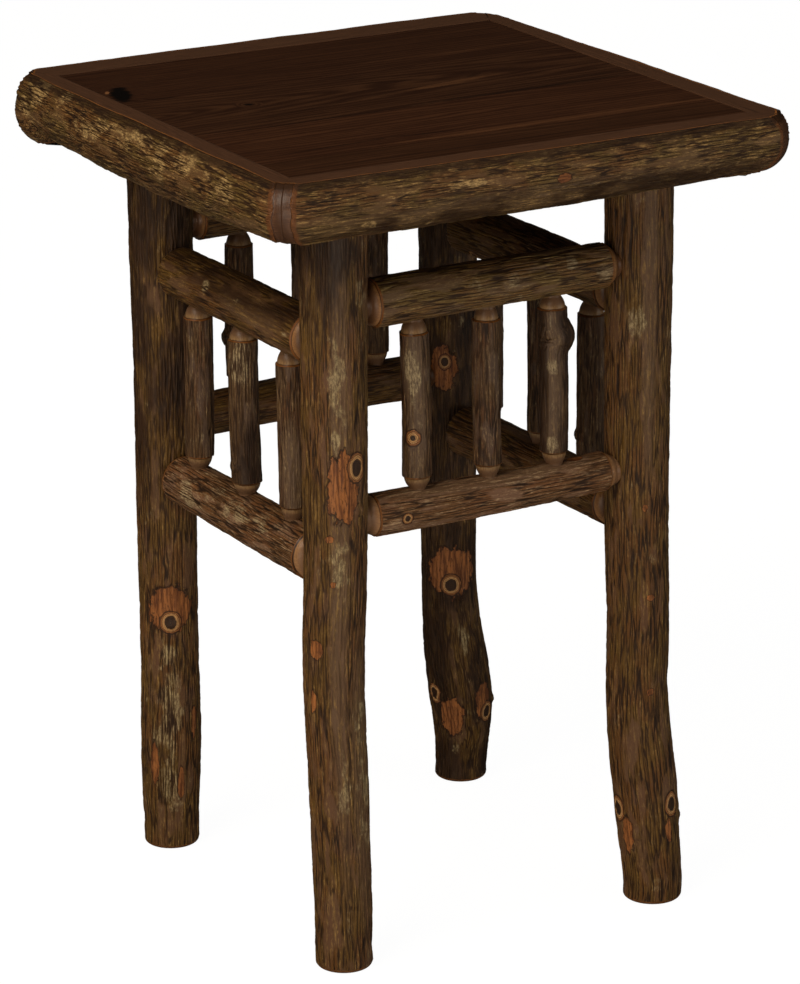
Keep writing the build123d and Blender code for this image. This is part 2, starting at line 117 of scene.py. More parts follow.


# %% [markdown]
# ## Studio
# Furniture is shown on a pale floor under large soft lamps. The lamps are set so
# that a colour renders about as it is written. The world is pale overhead and
# dim at the horizon, as a studio is, so that the flat top doesn't turn milky
# where it is seen at a low angle; only the camera sees it white. For a ray that the
# lacquer mirrors, the paper glows in front of the table, though no lamp is there,
# and is dim all round it; the lacquer shows that glow as a painted reflection.

# %% Floor
def new_material(name):
    """An empty material and its tree."""
    material = bpy.data.materials.new(name)
    material.use_nodes = True
    material.node_tree.nodes.clear()
    return material, material.node_tree


front_way = (-0.49, -0.87, 0)           # from the table to its front left
side_way = (0.87, -0.49, 0)
floor_material, tree = new_material("studio_paper")
ray = add(tree, "ShaderNodeLightPath").outputs
paper = add(tree, "ShaderNodeBsdfDiffuse", dye("#f2f1ee"))
glow = add(tree, "ShaderNodeEmission", (1, 1, 1, 1), 1.04)
camera_share = add(tree, "ShaderNodeMath", ray["Is Camera Ray"], 0.93, operation="MULTIPLY")
plain = add(tree, "ShaderNodeMixShader", camera_share, paper, glow)

spot = add(tree, "ShaderNodeTexCoord").outputs["Object"]
forward = add(tree, "ShaderNodeVectorMath", spot, front_way, operation="DOT_PRODUCT")
sideways = add(tree, "ShaderNodeVectorMath", spot, side_way, operation="DOT_PRODUCT")
aside = add(tree, "ShaderNodeMath", sideways, operation="ABSOLUTE")
in_front = add(tree, "ShaderNodeMath", forward, aside, operation="SUBTRACT")
# painted reflection: the paper in front of the table glows for mirrored rays only, though no
# lamp is there
painted_glow = add(
    tree, "ShaderNodeMapRange", in_front, 0.1, 0.9, 0.03, 1.13,
    interpolation_type="SMOOTHSTEP")
mirrored = add(tree, "ShaderNodeEmission", dye("#fbf4ea"), painted_glow)
seen = add(tree, "ShaderNodeMixShader", ray["Is Glossy Ray"], plain, mirrored)
add(tree, "ShaderNodeOutputMaterial", seen)

floor_half = 14.0
floor_mesh = bpy.data.meshes.new("floor")
floor_mesh.from_pydata(
    [(-floor_half, -floor_half, 0), (floor_half, -floor_half, 0),
     (floor_half, floor_half, 0), (-floor_half, floor_half, 0)], [], [(0, 1, 2, 3)])
floor_mesh.materials.append(floor_material)
floor = bpy.data.objects.new("floor", floor_mesh)
bpy.context.scene.collection.objects.link(floor)
print("floor", 2 * floor_half, "m square")

# %% World
world = bpy.data.worlds.new("studio")
bpy.context.scene.world = world
world.use_nodes = True
tree = world.node_tree
tree.nodes.clear()
overhead = add(
    tree, "ShaderNodeSeparateXYZ",
    add(tree, "ShaderNodeTexCoord").outputs["Generated"]).outputs["Z"]
sky_colour = coat(tree, dye("#302e2c"), dye("#f6f4f0"), overhead, 0.3, 0.95)
sky = add(tree, "ShaderNodeBackground", sky_colour, 0.8)
dim = add(tree, "ShaderNodeBackground", dye("#2a2520"), 0.6)
white = add(tree, "ShaderNodeBackground", (1, 1, 1, 1), 1.0)
ray = add(tree, "ShaderNodeLightPath").outputs
mirrored = add(tree, "ShaderNodeMixShader", ray["Is Glossy Ray"], sky, dim)
seen = add(tree, "ShaderNodeMixShader", ray["Is Camera Ray"], mirrored, white)
add(tree, "ShaderNodeOutputWorld", seen)
print("world:", len(tree.nodes), "nodes")

# %% Lamps
table_middle = Vector((0, 0, 0.4))


def softbox(name, place, size, watts, colour):
    """A square lamp with a soft face, turned to the middle of the table."""
    lamp = bpy.data.lights.new(name, "AREA")
    lamp.shape = "SQUARE"
    lamp.size = size
    lamp.energy = watts
    lamp.color = dye(colour)[:3]
    holder = bpy.data.objects.new(name, lamp)
    bpy.context.scene.collection.objects.link(holder)
    holder.location = place
    to_table = table_middle - Vector(place)
    holder.rotation_euler = to_table.to_track_quat("-Z", "Y").to_euler()


softbox("key_lamp", (-2.6, -1.2, 2.8), 2.0, 96, "#fff1de")
softbox("fill_lamp", (2.1, -2.7, 0.45), 1.8, 29, "#f8f0e6")
softbox("low_lamp", (-2.6, -2.3, 0.3), 1.6, 39, "#ffe8cf")
print("3 lamps")

# %% [markdown]
# ## Camera
# A long lens from a little above the top shows the front and the left side. The
# angles are fixed, and the lens and its small shift frame the whole table.

# %% Camera
view_turn = radians(-29.576)
view_rise = radians(17.914)
view_roll = radians(0.351)
view_distance = 4.4502
image_height = 984
focal_pixels = 4755.6
shift_pixels = (3.93, -2.36)
sensor_height = 36.0
sight_middle = Vector((0, 0, 0.381))

to_camera = Vector((
    sin(view_turn) * cos(view_rise), -cos(view_turn) * cos(view_rise), sin(view_rise)))
level_right = Vector((cos(view_turn), sin(view_turn), 0))
level_up = to_camera.cross(level_right)
right = level_right * cos(view_roll) - level_up * sin(view_roll)
up = level_right * sin(view_roll) + level_up * cos(view_roll)

lens = bpy.data.cameras.new("camera")
camera = bpy.data.objects.new("camera", lens)
bpy.context.scene.collection.objects.link(camera)
lens.sensor_fit = "VERTICAL"
lens.sensor_height = sensor_height
lens.lens = focal_pixels / image_height * sensor_height
lens.shift_x, lens.shift_y = (pixels / image_height for pixels in shift_pixels)
place = sight_middle + to_camera * view_distance
camera.matrix_world = Matrix((
    (right.x, up.x, to_camera.x, place.x),
    (right.y, up.y, to_camera.y, place.y),
    (right.z, up.z, to_camera.z, place.z),
    (0, 0, 0, 1)))
bpy.context.scene.camera = camera
bpy.context.scene.view_settings.view_transform = "Standard"
print("camera", [round(value, 2) for value in place])

# %% [markdown]
# ## Bark
# Young hickory bark is a net of long ridges with dark furrows between them. It
# could be sculpted, or lifted by a picture of bark. Here a Voronoi pattern pulled
# out along the pole gives the net, and noise that pushes its cells about makes the
# ridges cross over. The same function builds it in a Geometry Nodes tree, where it
# lifts the surface, and in a shader, where it colours ridges and furrows, so that
# both agree to the last ridge. It reads bark_place, which says where a point lies
# on the pole as if it were straight: two distances from its middle and the
# distance along it.

# %% The bark's relief
worn_patch = 13 * mm
sway_size = 9 * mm
ridge_sway = 3.6 * mm
ridge_length = 19               # times its width
worn_height = 0.62              # a rubbed ridge, from 0 in a furrow to 1 on a crest
mean_height = 0.55


def worn_bark(tree, place):
    """1 where the bark has been rubbed smooth, in patches longer than wide."""
    patch = mottle(tree, place, (1, 1, 4), worn_patch)
    return add(
        tree, "ShaderNodeMapRange", patch, 0.54, 0.64, interpolation_type="SMOOTHSTEP")


def bark_relief(tree, place, ridge_width, worn):
    """Height of the bark from 0, a furrow's bottom, to 1, a ridge's crest."""
    # coordinates in ridges: pushed about, squeezed along the pole, over the ridge's width
    push = mottle(tree, place, (1, 1, 4), sway_size).outputs["Color"]
    pushed = add(
        tree, "ShaderNodeVectorMath", push, (ridge_sway,) * 3, place, operation="MULTIPLY_ADD")
    squeezed = add(
        tree, "ShaderNodeVectorMath", pushed, (1, 1, 1 / ridge_length), operation="MULTIPLY")
    width = add(tree, "ShaderNodeCombineXYZ", ridge_width, ridge_width, ridge_width)
    drawn = add(tree, "ShaderNodeVectorMath", squeezed, width, operation="DIVIDE")

    # ridges between the cells' edges, cracked across where a noise passes its middle
    net = add(
        tree, "ShaderNodeTexVoronoi", {"Vector": drawn, "Scale": 0.78, "Randomness": 0.9},
        feature="DISTANCE_TO_EDGE")
    ridge = add(
        tree, "ShaderNodeMapRange", net, 0.02, 0.26, interpolation_type="SMOOTHSTEP")
    level = add(tree, "ShaderNodeTexNoise", drawn, 1 / 1.3, 1.0, 0.4)
    from_middle = add(tree, "ShaderNodeMath", level, 0.5, operation="SUBTRACT")
    away = add(tree, "ShaderNodeMath", from_middle, operation="ABSOLUTE")
    crack = add(
        tree, "ShaderNodeMapRange", away, 0.0, 0.1, 0.55, 1.0, interpolation_type="SMOOTHSTEP")
    ridge = add(tree, "ShaderNodeMath", ridge, crack, operation="MULTIPLY")

    # strands on the ridges, rubbed level where worn, with fine flecks over all
    strand = add(tree, "ShaderNodeTexNoise", drawn, 1 / 0.8, 3.0, 0.6)
    strand = add(
        tree, "ShaderNodeMapRange", strand, 0.34, 0.64, interpolation_type="SMOOTHSTEP")
    ridge = add(tree, "ShaderNodeMix", 0.26, ridge, strand)
    rubbed = add(tree, "ShaderNodeMath", worn, 0.7, operation="MULTIPLY")
    ridge = add(tree, "ShaderNodeMix", rubbed, ridge, worn_height)
    fleck = mottle(tree, pushed, (1, 1, 3), 1.3 * mm, 3.0, 0.7)
    return add(tree, "ShaderNodeMix", 0.22, ridge, fleck)


# %% [markdown]
# ### The skin tree
# One tree lifts any surface that knows its bark_place and its lift: the way that
# it may move, of length 1 under bark and almost 0 where it is peeled. A
# Displace modifier could lift a surface too, but not by a pattern that is drawn
# out along a crooked pole.

# %% Geometry Nodes helpers
def new_geometry_tree(name, inputs):
    """A tree with named inputs, and the sockets that give them."""
    tree = bpy.data.node_groups.new(name, "GeometryNodeTree")
    tree.interface.new_socket("Geometry", in_out="INPUT", socket_type="NodeSocketGeometry")
    for label, kind in inputs:
        tree.interface.new_socket(label, in_out="INPUT", socket_type="NodeSocket" + kind)
    tree.interface.new_socket("Geometry", in_out="OUTPUT", socket_type="NodeSocketGeometry")
    return tree, add(tree, "NodeGroupInput").outputs


def run_tree(piece, tree, inputs):
    """Turn a piece into the plain mesh that a tree makes of it."""
    sockets = {
        item.name: item.identifier for item in tree.interface.items_tree
        if item.in_out == "INPUT"}
    modifier = piece.modifiers.new("tree", "NODES")
    modifier.node_group = tree
    for label, value in inputs.items():
        modifier[sockets[label]] = value
    depsgraph = bpy.context.evaluated_depsgraph_get()
    made = bpy.data.meshes.new_from_object(
        piece.evaluated_get(depsgraph), preserve_all_data_layers=True, depsgraph=depsgraph)
    piece.modifiers.clear()
    piece.data = made
    made.name = piece.name


# %% Tree: bark skin
skin_tree, given = new_geometry_tree("bark skin", [
    ("Ridge Width", "Float"), ("Relief", "Float"), ("Bark", "Material")])
place = add(
    skin_tree, "GeometryNodeInputNamedAttribute", "bark_place", data_type="FLOAT_VECTOR")
relief = bark_relief(skin_tree, place, given["Ridge Width"], worn_bark(skin_tree, place))
from_mean = add(skin_tree, "ShaderNodeMath", relief, mean_height, operation="SUBTRACT")
height = add(skin_tree, "ShaderNodeMath", from_mean, given["Relief"], operation="MULTIPLY")
lift = add(skin_tree, "GeometryNodeInputNamedAttribute", "lift", data_type="FLOAT_VECTOR")
offset = add(skin_tree, "ShaderNodeVectorMath", lift, height, operation="SCALE")
lifted = add(skin_tree, "GeometryNodeSetPosition", {
    "Geometry": given["Geometry"], "Offset": offset})
smooth = add(skin_tree, "GeometryNodeSetShadeSmooth", lifted)
whole = add(skin_tree, "GeometryNodeRealizeInstances", smooth)
clothed = add(skin_tree, "GeometryNodeSetMaterial", {
    "Geometry": whole, "Material": given["Bark"]})
add(skin_tree, "NodeGroupOutput", clothed)
print("skin tree:", len(skin_tree.nodes), "nodes")

# %% [markdown]
# ### The pole tree
# A pole is a tube along its middle line. The tree makes the tube, then feels for
# the solid below with a ray to the middle line from every point, so that knots
# and stubs come through, and hands it to the skin tree. Shrinkwrap would find the
# solid too, but it would slide the points along. A blind hole for another pole's
# tenon would swallow the ray, so no point sinks far below the thickness that the
# middle line carries.

# %% Tree: pole, its tube
pole_tree, given = new_geometry_tree("bark pole", [
    ("Solid", "Object"), ("Points Around", "Int"), ("Side", "Vector"), ("Up", "Vector"),
    ("Shift", "Vector"), ("Ragged Edge", "Float"),
    ("Ridge Width", "Float"), ("Relief", "Float"), ("Bark", "Material")])
ray_start = 60 * mm
deepest_dip = 0.6 * mm
peeled_lift = 0.06              # how much relief is left where the bark is peeled
wander_size = 7 * mm
wander_reach = 3.5 * mm
wander_most = 4.0               # times the ragged edge

place = add(pole_tree, "GeometryNodeInputPosition")
line = add(
    pole_tree, "GeometryNodeStoreNamedAttribute",
    {"Geometry": given["Geometry"], "Name": "middle", "Value": place},
    data_type="FLOAT_VECTOR", domain="POINT")
curve = add(pole_tree, "GeometryNodeMeshToCurve", line)
ring = add(pole_tree, "GeometryNodeCurvePrimitiveCircle", {
    "Resolution": given["Points Around"], "Radius": 1.0})
thickness = add(pole_tree, "GeometryNodeInputNamedAttribute", "thickness", data_type="FLOAT")
tube = add(pole_tree, "GeometryNodeCurveToMesh", {
    "Curve": curve, "Profile Curve": ring, "Scale": thickness, "Fill Caps": True})
print("pole tree:", len(pole_tree.nodes), "nodes for the tube")

# %% Tree: pole, felt out on its solid
middle = add(
    pole_tree, "GeometryNodeInputNamedAttribute", "middle", data_type="FLOAT_VECTOR")
offset = add(pole_tree, "ShaderNodeVectorMath", place, middle, operation="SUBTRACT")
outward = add(pole_tree, "ShaderNodeVectorMath", offset, operation="NORMALIZE")
start = add(
    pole_tree, "ShaderNodeVectorMath", outward, (ray_start,) * 3, middle,
    operation="MULTIPLY_ADD")
inward = add(pole_tree, "ShaderNodeVectorMath", outward, (-1, -1, -1), operation="MULTIPLY")
solid = add(pole_tree, "GeometryNodeObjectInfo", {"Object": given["Solid"]})
felt = add(pole_tree, "GeometryNodeRaycast", {
    "Target Geometry": solid.outputs["Geometry"], "Source Position": start,
    "Ray Direction": inward, "Ray Length": ray_start})
reached = add(
    pole_tree, "ShaderNodeMath", ray_start, felt.outputs["Hit Distance"],
    operation="SUBTRACT")
lowest = add(pole_tree, "ShaderNodeMath", thickness, deepest_dip, operation="SUBTRACT")
radius = add(pole_tree, "ShaderNodeMath", reached, lowest, operation="MAXIMUM")
position = add(
    pole_tree, "ShaderNodeVectorMath", outward, radius, middle, operation="MULTIPLY_ADD")
surface = add(pole_tree, "GeometryNodeSetPosition", {"Geometry": tube, "Position": position})
print("pole tree:", len(pole_tree.nodes), "nodes to its surface")

# %% Tree: pole, what the bark reads
across = add(
    pole_tree, "ShaderNodeVectorMath", offset, given["Side"], operation="DOT_PRODUCT")
above = add(
    pole_tree, "ShaderNodeVectorMath", offset, given["Up"], operation="DOT_PRODUCT")
along = add(pole_tree, "GeometryNodeInputNamedAttribute", "along", data_type="FLOAT")
spot = add(pole_tree, "ShaderNodeCombineXYZ", across, above, along)
shifted = add(pole_tree, "ShaderNodeVectorMath", spot, given["Shift"], operation="ADD")
surface = add(
    pole_tree, "GeometryNodeStoreNamedAttribute",
    {"Geometry": surface, "Name": "bark_place", "Value": shifted},
    data_type="FLOAT_VECTOR", domain="POINT")
edge = add(pole_tree, "GeometryNodeInputNamedAttribute", "edge", data_type="FLOAT")
under_bark = add(
    pole_tree, "ShaderNodeMapRange", edge, 0.0, -1.0 * mm, peeled_lift, 1.0,
    interpolation_type="SMOOTHSTEP")
lift = add(pole_tree, "ShaderNodeVectorMath", outward, under_bark, operation="SCALE")
surface = add(
    pole_tree, "GeometryNodeStoreNamedAttribute",
    {"Geometry": surface, "Name": "lift", "Value": lift},
    data_type="FLOAT_VECTOR", domain="POINT")

# the bark's edge wanders to and fro along the pole
bark_place = add(
    pole_tree, "GeometryNodeInputNamedAttribute", "bark_place", data_type="FLOAT_VECTOR")
wander = mottle(pole_tree, bark_place, (1, 1, 1), wander_size)
wander = add(pole_tree, "ShaderNodeMath", wander, 0.5, operation="SUBTRACT")
from_edge = add(pole_tree, "ShaderNodeMath", edge, operation="ABSOLUTE")
near_edge = add(
    pole_tree, "ShaderNodeMapRange", from_edge, wander_reach, 0.0, 0.0, wander_most,
    interpolation_type="SMOOTHSTEP")
shove = add(pole_tree, "ShaderNodeMath", wander, near_edge, operation="MULTIPLY")
shove = add(pole_tree, "ShaderNodeMath", shove, given["Ragged Edge"], operation="MULTIPLY")
way = add(
    pole_tree, "ShaderNodeVectorMath", given["Side"], given["Up"], operation="CROSS_PRODUCT")
shove = add(pole_tree, "ShaderNodeVectorMath", way, shove, operation="SCALE")
surface = add(pole_tree, "GeometryNodeSetPosition", {"Geometry": surface, "Offset": shove})

skin = add(pole_tree, "GeometryNodeGroup", {
    "Geometry": surface, "Ridge Width": given["Ridge Width"],
    "Relief": given["Relief"], "Bark": given["Bark"]}, node_tree=skin_tree)
whole = add(pole_tree, "GeometryNodeRealizeInstances", skin)
finished = add(pole_tree, "GeometryNodeSetMaterial", {
    "Geometry": whole, "Material": given["Bark"]})
add(pole_tree, "NodeGroupOutput", finished)
print("pole tree:", len(pole_tree.nodes), "nodes in all")

# %% [markdown]
# ## Bark materials
# A pole isn't stained: lacquer only darkens it and gives it a satin sheen, least
# in the furrows. Crests run from olive to a greyish brown in patches a few
# centimetres long, and furrows are nearly black. Ridges are about 2 mm wide, as on
# a young tree. Flecks and fibres of 1 to 2 mm are coarser than real ones, so that
# they show. Every mesh in bark brings what its material has to know: bark_place;
# edge, the distance past the bark's end; marks, which holds torn bark, lichen and
# knots as three fields from 0 at their rim to 1 in the middle; smooth, for rubbed
# strips whose lighter crests are a painted sheen; stain, for darker stretches,
# some of them painted shade; and on the logs rim, the distance onto the planed
# face, below 0 on the bark.

# %% What all coats of the bark read
def read_bark(tree, ridge_width):
    """The mesh's attributes, the relief and the patterns that the coats share."""
    attributes = {
        name: add(tree, "ShaderNodeAttribute", attribute_name=name).outputs[output]
        for name, output in (
            ("bark_place", "Vector"), ("marks", "Vector"), ("edge", "Fac"),
            ("smooth", "Fac"), ("stain", "Fac"))}
    place, smooth = attributes["bark_place"], attributes["smooth"]
    torn, pale, knot = add(tree, "ShaderNodeSeparateXYZ", attributes["marks"]).outputs
    rubbed = add(tree, "ShaderNodeMath", smooth, 0.75, operation="MULTIPLY")
    worn = add(tree, "ShaderNodeMath", worn_bark(tree, place), rubbed, operation="MAXIMUM")
    ragged = mottle(tree, place, (1, 1, 1.6), 6 * mm, 5.0, 0.65)
    return SimpleNamespace(
        place=place, smooth=smooth, edge=attributes["edge"], stain=attributes["stain"],
        torn=torn, pale=pale, knot=knot, worn=worn,
        relief=bark_relief(tree, place, ridge_width, worn),
        patches=mottle(tree, place, (1, 1, 2.5), 24 * mm, 4.0, 0.6),
        fleck=mottle(tree, place, (1, 1, 3.5), 1.5 * mm, 4.0, 0.75),
        streak=mottle(tree, place, (1, 1, 12), 2.2 * mm, 3.0, 0.65),
        fibres=mottle(tree, place, (1, 1, 9), 1.1 * mm, 3.0, 0.6),
        ragged=add(tree, "ShaderNodeMath", ragged, 1.1, -0.55, operation="MULTIPLY_ADD"))


# %% Crests and furrows
furrow_tones = ("#1c1007", "#2a1808")
# the lighter grey of a painted sheen on the lacquer of smooth strips
sheen_tone = "#53412f"


def lay_bark(tree, bark, tones):
    """Furrows under crests of two tones in patches, one rubbed and one in pale flecks, with a
    painted sheen on smooth strips, and darker where stain marks are, partly as painted shade.
    """
    other_place = add(tree, "ShaderNodeVectorMath", bark.place, (5, 2, 9), operation="ADD")
    other_patches = mottle(tree, other_place, (1, 1, 2.5), 17 * mm, 4.0, 0.6)
    rubbed = add(
        tree, "ShaderNodeMapRange", other_patches, 0.55, 0.65, interpolation_type="SMOOTHSTEP")
    rubbed = add(tree, "ShaderNodeMath", bark.worn, rubbed, operation="MAXIMUM")
    rubbed = add(tree, "ShaderNodeMath", rubbed, 0.75, operation="MULTIPLY")
    smooth = add(tree, "ShaderNodeMath", bark.smooth, 0.5, operation="MULTIPLY")
    flecked = add(tree, "ShaderNodeMath", bark.streak, bark.fleck, operation="ADD")
    crest = coat(tree, dye(tones[0]), dye(tones[1]), bark.patches, 0.44, 0.56)
    crest = add(tree, "ShaderNodeMix", rubbed, crest, dye(tones[2]), data_type="RGBA")
    # painted sheen: on smooth strips the crests turn a lighter grey, as a highlight on the
    # lacquer
    crest = add(tree, "ShaderNodeMix", smooth, crest, dye(sheen_tone), data_type="RGBA")
    crest = coat(tree, crest, dye(tones[3]), flecked, 0.98, 1.4, 0.85)

    groove = coat(tree, dye(furrow_tones[0]), dye(furrow_tones[1]), bark.patches, 0.3, 0.7)
    colour = coat(tree, groove, crest, bark.relief, 0.14, 0.5)
    colour = coat(tree, colour, groove, bark.fleck, 0.44, 0.26, 0.5)
    # painted shade and darker bark: stain marks pull the colour to the furrows' tone in patches,
    # as painted shade under the top and on a spindle's flanks
    patchy = add(
        tree, "ShaderNodeMapRange", bark.patches, 0.68, 0.45, 0.0, 0.8,
        interpolation_type="SMOOTHSTEP")
    stain = add(tree, "ShaderNodeMath", bark.stain, patchy, operation="MULTIPLY")
    return add(tree, "ShaderNodeMix", stain, colour, groove, data_type="RGBA"), groove


# %% [markdown]
# ### Lichen, tears and knots
# Lichen grows as pale blotches of many small flakes, on the crests first. Torn
# bark lays its orange-brown inner layer bare, with a dark lip round it. A knot is
# the bark's dark lip, then orange wood that curls round it, a pale collar and a
# dark heart. All three could be separate pieces, but they have no edge that casts
# a shadow, so each is a coat of colour on the same skin.

# %% Lichen
def lay_lichen(tree, bark, colour, tones, share):
    """Pale flakes over a share of the bark, and thicker where a mark says so."""
    blotch = mottle(tree, bark.place, (1, 1, 1.5), 16 * mm, 6.0, 0.66)
    grown = add(tree, "ShaderNodeMath", bark.pale, 0.42, blotch, operation="MULTIPLY_ADD")
    lichen = 0.8
    for value, none, full in (
            (grown, 1 - share, 1.13 - share), (bark.relief, 0.2, 0.55), (bark.fleck, 0.3, 0.5)):
        part = add(
            tree, "ShaderNodeMapRange", value, none, full, interpolation_type="SMOOTHSTEP")
        lichen = add(tree, "ShaderNodeMath", part, lichen, operation="MULTIPLY")
    flake = coat(tree, dye(tones[0]), dye(tones[1]), bark.fleck, 0.4, 0.66)
    return add(tree, "ShaderNodeMix", lichen, colour, flake, data_type="RGBA")


# %% Torn bark
torn_lip = "#201108"
inner_dark, inner_light, inner_fleck = "#4e2a11", "#875429", "#3a1f0e"


def lay_torn(tree, bark, colour):
    """The inner layer where bark is torn off, and where that is."""
    inside = add(
        tree, "ShaderNodeMapRange", bark.torn, 0.0, 0.08, interpolation_type="SMOOTHSTEP")
    ragged = add(tree, "ShaderNodeMath", bark.torn, bark.ragged, operation="ADD")
    bare = add(tree, "ShaderNodeMath", ragged, inside, operation="MULTIPLY")
    inner = coat(tree, dye(inner_dark), dye(inner_light), bark.streak, 0.36, 0.66)
    inner = coat(tree, inner, dye(inner_fleck), bark.fleck, 0.5, 0.3)
    colour = coat(tree, colour, dye(torn_lip), bare, 0.1, 0.17, 0.8)
    colour = coat(tree, colour, inner, bare, 0.19, 0.27)
    return colour, add(
        tree, "ShaderNodeMapRange", bare, 0.12, 0.24, interpolation_type="SMOOTHSTEP")


# %% Knots
knot_rings = (                      # starts, is full, its dark and its light tone
    (0.03, 0.1, "#20120a", "#2c1a0d"), (0.12, 0.18, "#4e2d15", "#7c5029"),
    (0.28, 0.34, "#6b4c2a", "#a57e50"), (0.48, 0.54, "#1c110a", "#382415"))


def lay_knots(tree, bark, colour):
    """Four rings from a knot's lip to its heart, each with fine curls."""
    grown = add(tree, "ShaderNodeMath", bark.ragged, 0.3, bark.knot, operation="MULTIPLY_ADD")
    has_knot = add(
        tree, "ShaderNodeMapRange", bark.knot, 0.0, 0.04, interpolation_type="SMOOTHSTEP")
    bend = add(tree, "ShaderNodeMath", bark.patches, 30.0, operation="MULTIPLY")
    turn = add(tree, "ShaderNodeMath", grown, 55.0, bend, operation="MULTIPLY_ADD")
    wave = add(tree, "ShaderNodeMath", turn, operation="SINE")
    curl = add(tree, "ShaderNodeMath", wave, 0.3, bark.fleck, operation="MULTIPLY_ADD")
    for start, full, low, high in knot_rings:
        ring = add(
            tree, "ShaderNodeMapRange", grown, start, full, interpolation_type="SMOOTHSTEP")
        ring = add(tree, "ShaderNodeMath", ring, has_knot, operation="MULTIPLY")
        wood = coat(tree, dye(low), dye(high), curl, 0.3, 0.7)
        colour = add(tree, "ShaderNodeMix", ring, colour, wood, data_type="RGBA")
    return colour


# %% [markdown]
# ### Where the bark ends
# A knife has taken the bark off at every joint. It leaves the bark's orange inner
# layer as a thin line, a dark cut, and then brown peeled wood with fine fibres. A
# log is also planed on top, which cuts through its growth rings. That face is
# stained like the boards, and the bark shows round it as a dark rim with a thin
# orange line inside. Just under the rim, the bark is darkened by a painted shade.

# %% Peeled ends
knife_cut = "#2e1b0e"


def lay_peeled(tree, bark, colour, tones, lip, lip_tones):
    """The bark's lip, of a width, and the wood past it; also where that is."""
    far_edge = add(
        tree, "ShaderNodeMath", bark.ragged, 0.4 * mm, bark.edge, operation="MULTIPLY_ADD")
    lip_edge = add(
        tree, "ShaderNodeMath", bark.ragged, lip, bark.edge, operation="MULTIPLY_ADD")
    wood = coat(tree, dye(tones[0]), dye(tones[1]), bark.fibres, 0.25, 0.8)
    wood = coat(tree, wood, dye(tones[2]), bark.edge, 1.5 * mm, 6.5 * mm, 0.8)
    lip_colour = add(
        tree, "ShaderNodeMix", bark.fleck, dye(lip_tones[0]), dye(lip_tones[1]),
        data_type="RGBA")
    colour = coat(tree, colour, lip_colour, lip_edge, -1.2 * lip, -0.7 * lip)
    colour = coat(tree, colour, dye(knife_cut), far_edge, 0.1 * mm, 0.4 * mm)
    colour = coat(tree, colour, wood, far_edge, 0.6 * mm, 1.2 * mm)
    return colour, add(
        tree, "ShaderNodeMapRange", far_edge, -0.8 * mm, -0.2 * mm,
        interpolation_type="SMOOTHSTEP")


# %% Planed face
log_ring_width = 2.1 * mm
rim_dark, rim_orange = "#23150c", "#8a5628"


def growth_rings(tree, turn):
    """0 to 1 and back for every whole turn, as dark and light wood follow each other."""
    angle = add(tree, "ShaderNodeMath", turn, 2 * pi, operation="MULTIPLY")
    wave = add(tree, "ShaderNodeMath", angle, operation="SINE")
    return add(tree, "ShaderNodeMath", wave, 0.5, 0.5, operation="MULTIPLY_ADD")


def lay_planed(tree, bark, colour, groove, tones):
    """A log's planed face with the bark's rim; also where that face is."""
    rim = add(tree, "ShaderNodeAttribute", attribute_name="rim").outputs["Fac"]
    flat_place = add(tree, "ShaderNodeVectorMath", bark.place, (1, 1, 0), operation="MULTIPLY")
    from_heart = add(tree, "ShaderNodeVectorMath", flat_place, operation="LENGTH")
    ring = add(tree, "ShaderNodeMath", from_heart, log_ring_width, operation="DIVIDE")
    bend = mottle(tree, bark.place, (1, 1, 12), 9 * mm)
    turn = add(tree, "ShaderNodeMath", bend, 5, ring, operation="MULTIPLY_ADD")
    grain = add(tree, "ShaderNodeMix", 0.55, growth_rings(tree, turn), bark.fibres)
    inner_bark = add(
        tree, "ShaderNodeMath", bark.ragged, 2.4 * mm, rim, operation="MULTIPLY_ADD")
    face = coat(tree, dye(tones[0]), dye(tones[1]), grain, 0.25, 0.8)
    face = coat(tree, face, dye(rim_orange), inner_bark, 3.0 * mm, 2.2 * mm)
    face = coat(tree, face, dye(rim_dark), inner_bark, 1.6 * mm, 1.1 * mm)

    # painted shade: the bark is darkened just under the rim, as if in the shadow of its notched
    # edge
    shade_under_rim = add(
        tree, "ShaderNodeMath", bark.ragged, 14 * mm, rim, operation="MULTIPLY_ADD")
    colour = coat(tree, colour, groove, shade_under_rim, -10 * mm, -5 * mm, 0.75)
    flat = add(
        tree, "ShaderNodeMapRange", rim, -0.5 * mm, -0.1 * mm, interpolation_type="SMOOTHSTEP")
    return add(tree, "ShaderNodeMix", flat, colour, face, data_type="RGBA"), flat


# %% Bark material
crest_gloss, furrow_gloss = 0.44, 0.65      # roughness
smooth_gloss, peeled_gloss, planed_gloss = 0.36, 0.34, 0.4


